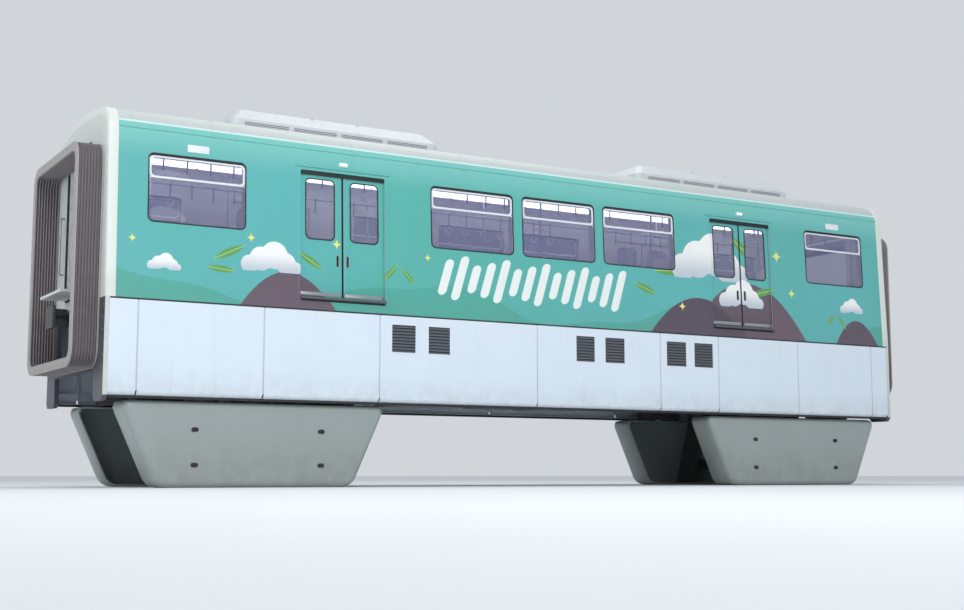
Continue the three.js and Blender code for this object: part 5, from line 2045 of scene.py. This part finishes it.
        # Painted shade: dark plates in the hand holes stand in for the shadow inside them.
        shade_wells = slab(0.104, 0.064, 0.0095, 0.03).copied(holes).mapped(out), Paint.HOLLOW
        piece(f"side_cover_rims_{label}", rims, shade_wells, **more)

    def fittings(self) -> None:
        """Makes the air spring folds, motor fins and caps, bolts and pipes on the CAD frame."""
        fold = hoop([(0.2, -0.028), (0.236, -0.024), (0.247, 0.0), (0.236, 0.024), (0.2, 0.028)], 40)
        springs = fold.at(0, (-0.95, 0.95), self.folds)
        fins = washer(0.2, 0.239, 0.0, 0.008, 36).at(0, 0, np.arange(0.68, 1.06, 0.03))
        cap = turned([(0.2, 1.128), (0.2, 1.134), (0.12, 1.14), (0.11, 1.152), (0.02, 1.153)], 28)
        screws = domes(on_circle(0.16, 8, 1.1355), 0.012, 0.008, 6)
        rules = [self.on_axle(x, sign) for x in (-self.axle_x, self.axle_x) for sign in (-1, 1)]
        motors, heads = (joined([s.mapped(rule) for rule in rules]) for s in (joined([fins, cap]), screws))
        pipe = tube(bent(doubled(self.pipe, (-1, 1, 1)), 0.05), 0.012)
        pipes = joined([pipe, pipe.scaled(-1, -1, 1)])
        shapes = (motors, Paint.CASE), (springs, Paint.TYRE), (heads, Paint.BOLT), (pipes, Paint.RUBBER)
        piece(f"bogie_fittings_{self.end.word}", *shapes, rule=self.place, body=f"bogie_{self.end.word}")

    def hand(self, side: Side) -> int:
        """Which way a side of the car lies from the middle of the bogie as it is drawn."""
        return -side.value * self.end.value

    def build(self) -> None:
        """Makes the bogie's pieces, each riding on its own body."""
        end = self.end.word
        for place, way in (("leading", 1), ("trailing", -1)):
            ahead = way * self.end.value
            self.axle(f"running_axle_{end}_{place}", ahead * self.axle_x)
            for side in Side:
                name = f"guide_wheel_{end}_{place}_{side.word}"
                self.side_wheel(name, ahead * self.side_x, self.hand(side), *self.guide)
        for side in Side:
            name = f"stabilising_wheel_{end}_{side.word}"
            self.side_wheel(name, 0.0, self.hand(side), *self.stabilise)
            self.cover(side)
        self.fittings()


@dataclass(frozen=True)
class Cabin:
    """The floor covering, and the seats, poles, rails and straps along both sides."""

    benches: Rows = ((-6.74, -4.46), (-2.2, 2.2), (4.46, 6.74))
    shell: Rows = (
        (-1.3355, 2.5905), (-1.3055, 3.395), (-1.27, 3.395), (-1.235, 3.06), (-0.84, 3.0),
        (-0.84, 2.965), (-0.87, 2.955), (-1.07, 2.945), (-1.105, 2.5905),
    )
    seat: float = 0.455
    seat_place: Numbers = (0, -1.03, 2.985)
    back_place: Numbers = (0, -1.265, 3.235)
    screen: float = 0.027
    screen_place: Numbers = (-1.09, 3.3)
    rail_y: float = -0.88
    rail_z: float = 4.45
    radius: float = 0.017
    hangers: Numbers = (-6.4, -DOOR_X, 0.0, DOOR_X, 6.4)
    floor_half: float = 1.325
    cove: float = 0.02

    def cushion(self, width: float, depth: float, thick: float, crown: float) -> Surface:
        """A crowned pad with its sides drawn in between the corners and a seam line round its edge.

        Each row is a rounded rectangle drawn in by a distance at a height. Over the edge the pair follows a
        quarter circle; on top the height is the crown times (1 - share squared), the share being the row's
        size over the edge row's. A side's points are pulled in by 3% times (1 - the square of their share
        along it).

        Args:
            width: size along the bench.
            depth: size across it.
            thick: height of the edge.
            crown: height of the middle above the edge.

        Returns:
            The closed surface.
        """
        edge, turn = 0.03, np.linspace(0, QUARTER, 6)
        low = thick - edge
        drawn = np.append([0.012, 0.004, 0.006, 0.0], edge * (1 - np.cos(turn)))
        height = np.append([0.0, low * 0.5, low * 0.5 + 0.004, low * 0.5 + 0.009], low + edge * np.sin(turn))
        rows = rounded(width - 2 * drawn, depth - 2 * drawn, 0.055 - drawn * 0.5)
        outline = np.stack([evenly(row, 48) for row in rows])
        outline *= 1 - 0.03 * (1 - (outline / (width / 2, depth / 2))[..., ::-1] ** 2)
        share = np.linspace(0.88, 0.08, 9)
        loops = np.concatenate([outline, outline[-1] * share[:, None, None]])
        return lofted(lifted(loops, np.append(height, thick + crown * (1 - share**2))))

    def pads(self) -> tuple[Surface, Surface]:
        """The seat cushions and the back cushions of one side.

        Returns:
            Both as surfaces.
        """
        flat = axes((1, 0, 0), (0, 1, 0.02), (0, -0.02, 1), self.seat_place)
        steep = axes((1, 0, 0), (0, -0.2873, 0.9578), (0, 0.9578, 0.2873), self.back_place)
        seats, backs = [], []
        for start, stop in self.benches:
            count = round((stop - start) / self.seat) + 1
            marks = np.linspace(start + self.screen, stop - self.screen, count)
            middles, width = spots((marks[:-1] + marks[1:]) / 2), marks[1] - marks[0] - 0.008
            seats.append(self.cushion(width, 0.4, 0.075, 0.02).mapped(flat).copied(middles))
            backs.append(self.cushion(width, 0.34, 0.06, 0.018).mapped(steep).copied(middles))
        return joined(seats), joined(backs)

    def hard_parts(self) -> Surface:
        """The bench boxes, the boards behind the backs and the draught screens at the benches' ends.

        Returns:
            The closed surfaces.
        """
        boxes = [along_car(self.shell, a, b, 0.004) for a, b in self.benches]
        screen = slab(0.46, 0.72, 0.025, 0.06, 0.006, 6).mapped(ACROSS)
        stops = [a for start, stop in self.benches for a in (start + 0.001, stop - 0.026)]
        return joined([*boxes, screen.at(stops, *self.screen_place)])

    def poles(self) -> Surface:
        """Stanchions, the grab rail and its hangers, with collars where they meet.

        Returns:
            The closed surfaces.
        """
        y, z, radius, high, hangers = self.rail_y, self.rail_z, self.radius, BODY.ceiling, self.hangers
        stand = [np.linspace(a + 0.034, b - 0.034, round((b - a) / 2.2) + 1) for a, b in self.benches]
        stand = np.concatenate(stand)
        curve = bent([(0, y, 3.0), (0, y, 3.4), (0, y + 0.03, 3.9), (0, y, 4.3), (0, y, z)], 0.3)
        collar = turned(doubled([(0.0265, -0.03), (0.028, -0.02)]), 14).mapped(RING_WISE)
        return joined([
            tube([(-6.7, y, z), (0, y, z), (6.7, y, z)], radius - 0.001, 12),
            tube(curve, radius - 0.0015, 12).at(stand),
            tube([(0, y, z), (0, y, high)], radius - 0.003, 12).at(hangers),
            collar.at(np.unique([*stand, *hangers]), y, z),
            turned([(0.04, -0.012), (0.04, -0.006), (0.02, 0.0)], 16).at(hangers, y, high),
        ])

    def straps(self) -> tuple[Surface, Surface]:
        """Hanging straps along the rail.

        Returns:
            The bands with their loops, and the grips.
        """
        at = np.linspace(-2.0, 2.0, 13)
        at = np.concatenate([at - 4.4, at[2:-2], at + 4.4])
        places = spots(at[np.abs(at) < 6.2], self.rail_y, self.rail_z)
        band = slab(0.022, 0.2, 0.003, 0.002, 0.001, 2).mapped(UPRIGHT).moved(0, -0.0015, -0.12)
        loop = washer(0.019, 0.0215, -0.011, 0.011, 16).mapped(RING_WISE)
        grip = hoop([(0.05, -0.006), (0.058, -0.008), (0.062, 0.0), (0.058, 0.008), (0.05, 0.006)], 24)
        return joined([band, loop]).copied(places), grip.mapped(UPRIGHT).moved(0, 0, -0.275).copied(places)

    def covering(self) -> Surface:
        """The floor covering, with its edges turned up at the walls.

        Returns:
            The closed surface.
        """
        half, cove, floor = self.floor_half, self.cove, BODY.floor
        turned_up = arc(half - cove, floor + 0.0035 + cove, cove, -QUARTER, 0, 5)
        wall = [[half, floor + 0.05], [half + 0.004, floor + 0.05], [half + 0.004, floor + 0.0005]]
        return along_car(doubled(np.concatenate([turned_up, wall]), (-1, 1)), -6.815, 6.815)

    def build(self) -> None:
        """Makes the cabin's pieces on both sides."""
        piece("floor_covering", (self.covering(), Paint.VINYL))
        bands, grips = self.straps()
        for side in Side:
            word, rule, node = side.word, side.turn, f"seats_{side.word}"
            for label, pads, nodes in zip(("seat", "back"), self.pads(), ([node], [])):
                name, cloth = f"{label}_cushions_{word}", (pads, Paint.CLOTH)
                piece(name, cloth, rule=rule, replaces=nodes, smooth_angle=60.0)
            piece(f"bench_shells_{word}", (self.hard_parts(), Paint.LINING), rule=rule)
            bars = (self.poles(), Paint.STEEL), (bands, Paint.RUBBER), (grips, Paint.WHITE)
            piece(f"grab_rails_{word}", *bars, rule=rule)


@dataclass(frozen=True)
class Underfloor:
    """Hatches, latches, fins and cables on the equipment cases."""

    # Each row: a case's rear end, front end and foot
    cases: Rows = (
        (-2.7, -1.85, 1.33), (-1.8, -0.42, 1.26), (-0.37, 0.76, 1.3), (0.81, 1.8, 1.26), (1.85, 2.7, 1.33)
    )
    # Each row: a run's distance from the middle, its height and radius
    cables: Rows = ((0.47, 2.39, 0.016), (0.435, 2.385, 0.011), (0.405, 2.392, 0.013))
    latches: Numbers = (0.66, 1.19)
    near: float = 0.56
    top: float = 2.41

    def lids(self) -> tuple[Surface, Surface]:
        """Lids on the cases' undersides and on their inner sides, and the latches along them.

        Returns:
            The lids and the latches.
        """
        lids, places = [], []
        for a, b, foot in self.cases:
            middle, width = (a + b) / 2, b - a
            lid = slab(width - 0.1, 0.6, 0.012, 0.03, 0.004).moved(middle, 0.925, -foot - 0.002)
            door = slab(width - 0.12, self.top - foot - 0.16, 0.01, 0.03).mapped(UPRIGHT).scaled(1, -1, 1)
            lids += [lid.scaled(1, 1, -1), door.moved(middle, self.near + 0.002, (foot + self.top) / 2)]
            places.append(spots(np.linspace(a + 0.1, b - 0.1, 5), self.latches, 0.0095 - foot))
        return joined(lids), domes(np.concatenate(places), 0.014, 0.006).scaled(1, 1, -1)

    def runs(self) -> Surface:
        """Cable runs and air pipes under the duct, from end to end, with their clips.

        Returns:
            The closed surfaces.
        """
        clip = brick((-0.02, 0.385, 2.366), (0.02, 0.5, 2.41))
        parts = [clip.at(np.arange(-3.1, 3.2, 0.62))]
        for y, z, radius in self.cables:
            half = [(3.3, y, z), (2.0, y, z), (1.5, y + 0.012, z - 0.02)]
            parts.append(tube(bent(doubled(half, (-1, 1, 1)), 0.2), radius))
        return joined(parts)

    def build(self) -> None:
        """Makes the pieces under the floor on both sides."""
        lids, latches = self.lids()
        a, b, foot = self.cases[2]
        fin = brick((a + 0.12, -0.002, foot - 0.045), (b - 0.12, 0.002, foot - 0.008), 0.001)
        fins = fin.at(0, np.arange(0.68, 1.18, 0.02))
        parts = (lids, Paint.CASE), (fins, Paint.LOUVRE), (latches, Paint.BOLT), (self.runs(), Paint.RUBBER)
        piece("underfloor_fittings", *((surface.paired(), paint) for surface, paint in parts))


@dataclass(frozen=True)
class CouplerTrim:
    """Bolts, buffer rings and an air hose pair on one coupler."""

    end: End
    height: float = 2.26
    face: float = 7.3
    # Each row: a buffer ring's place along the coupler, and its radius
    rings: Rows = ((6.78, 0.085), (6.96, 0.1))
    hose: Rows = ((0.17, 0.2, 6.8), (0.17, 0.2, 6.9), (0.2, 0.02, 7.05), (0.16, 0.02, 7.255))

    def build(self) -> None:
        """Makes the coupler's fittings on the CAD coupler."""
        bolts = joined([
            domes(spots((-0.155, 0.155), (-0.115, 0.0, 0.115), self.face - 0.0005), 0.016, 0.0005),
            domes(spots((-0.1, 0.1), (-0.08, 0.08), 7.0895), 0.012, 0.001),
        ])
        rings = [
            hoop([(0.066, x), (r, x + 0.005), (r, x + 0.05), (0.066, x + 0.055)], 28) for x, r in self.rings
        ]
        hose = tube(bent(self.hose, 0.08), 0.018, 12)
        dark = joined([*rings, hose, hose.scaled(-1, 1, 1)])
        parts = [(dark.moved(0, self.height, 0), Paint.RUBBER), (bolts.moved(0, self.height, 0), Paint.BOLT)]
        piece(f"coupler_trim_{self.end.word}", *parts, rule=self.end.facing)


# Each row: how the names of CAD nodes start that keep their shape, and their finish
NODE_PAINTS = (
    ("side_wall", Paint.WRAP),
    ("end_wall", Paint.ENDS),
    ("floor", Paint.CASE),
    ("bolster", Paint.FRAME),
    ("underfloor_equipment", Paint.CASE),
    ("coupler", Paint.FRAME),
    ("bogie_frame", Paint.FRAME),
)


def dress_nodes() -> None:
    """Gives each CAD node that keeps its shape its finish."""
    for name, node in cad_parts.items():
        for start, paint in NODE_PAINTS:
            if name.startswith(start):
                node.data.materials.clear()
                node.data.materials.append(material_of(paint))


@dataclass(frozen=True)
class Studio:
    """A pale floor, a pale sky and large soft lamps, with the camera near the floor."""

    azimuth: float = -30.6
    distance: float = 22.0
    eye: float = 0.16
    aim: Numbers = (-0.55, 0.0, 2.85)
    lens: float = 52.0
    sky: Numbers = (0.86, 0.9, 0.95, 1.0)
    sky_strength: float = 0.74
    # Each row: name, place, what it points at, size, power
    lamps: tuple[tuple[str, Numbers, Numbers, float, float], ...] = (
        ("key_lamp", (-9, -16, 13), (0, 0, 2.5), 9.0, 1000),
        ("low_lamp", (-5, -24, 6.5), (0, 0, 1.0), 7.0, 400),
        ("end_lamp", (-22, -3, 6), (0, 0, 3), 8.0, 500),
        ("top_lamp", (2, 3, 16), (0, 0, 4), 12.0, 600),
    )

    def point(self, name: str, data: bpy.types.ID, place: Numbers, aim: Numbers) -> Thing:
        """Puts a lamp or camera at a place, facing another.

        Args:
            name: the object's name.
            data: the lamp or camera.
            place: where it stands.
            aim: what it faces.

        Returns:
            The object, linked to the scene.
        """
        thing = bpy.data.objects.new(name, data)
        thing.location = place
        thing.rotation_euler = (Vector(aim) - Vector(place)).to_track_quat("-Z", "Y").to_euler()
        bpy.context.scene.collection.objects.link(thing)
        return thing

    def build(self) -> None:
        """Makes the stage and the lamps, and sets the camera."""
        floor = slab(400, 400, 0.02, 4.0, 0.002).moved(0, 0, -0.021)
        mesh_object("studio_floor", [(floor, Paint.STAGE)])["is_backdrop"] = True
        world = bpy.data.worlds.new("studio_sky")
        world.use_nodes = True
        shade = world.node_tree.nodes["Background"].inputs
        shade["Color"].default_value, shade["Strength"].default_value = self.sky, self.sky_strength
        for name, place, aim, size, power in self.lamps:
            lamp = bpy.data.lights.new(name, "AREA")
            lamp.shape, lamp.size, lamp.energy = "DISK", size, power
            self.point(name, lamp, place, aim)
        camera = bpy.data.cameras.new("main_camera")
        camera.lens, camera.sensor_width, camera.clip_end = self.lens, 36.0, 500
        turn, (x, y, _) = math.radians(self.azimuth), self.aim
        eye = (x + math.sin(turn) * self.distance, y - math.cos(turn) * self.distance, self.eye)
        scene = bpy.context.scene
        scene.world, scene.camera = world, self.point("main_camera", camera, eye, self.aim)
        scene.view_settings.view_transform = "Standard"


def main() -> None:
    """Builds the dressed car in order."""
    logging.basicConfig(level=logging.INFO, format="%(message)s")
    cad_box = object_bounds()
    dress_nodes()
    Roof().build()
    for side in Side:
        SideWindows(side).build()
        Portals(side).build()
        Skirt(side).build()
        for end in End:
            for forward in (True, False):
                DoorLeaf(side, end, forward).build()
    for end in End:
        for assembly in (EndWall, Bellows, AirConditioner, Bogie, CouplerTrim):
            assembly(end).build()
    for assembly in (Underfloor, Cabin, Studio):
        assembly().build()
    sizes = {"cad": [list(corner) for corner in cad_box], "visual": [list(corner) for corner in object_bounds()]}
    log.info("visual box %s", sizes["visual"])


if __name__ == "__main__":
    main()
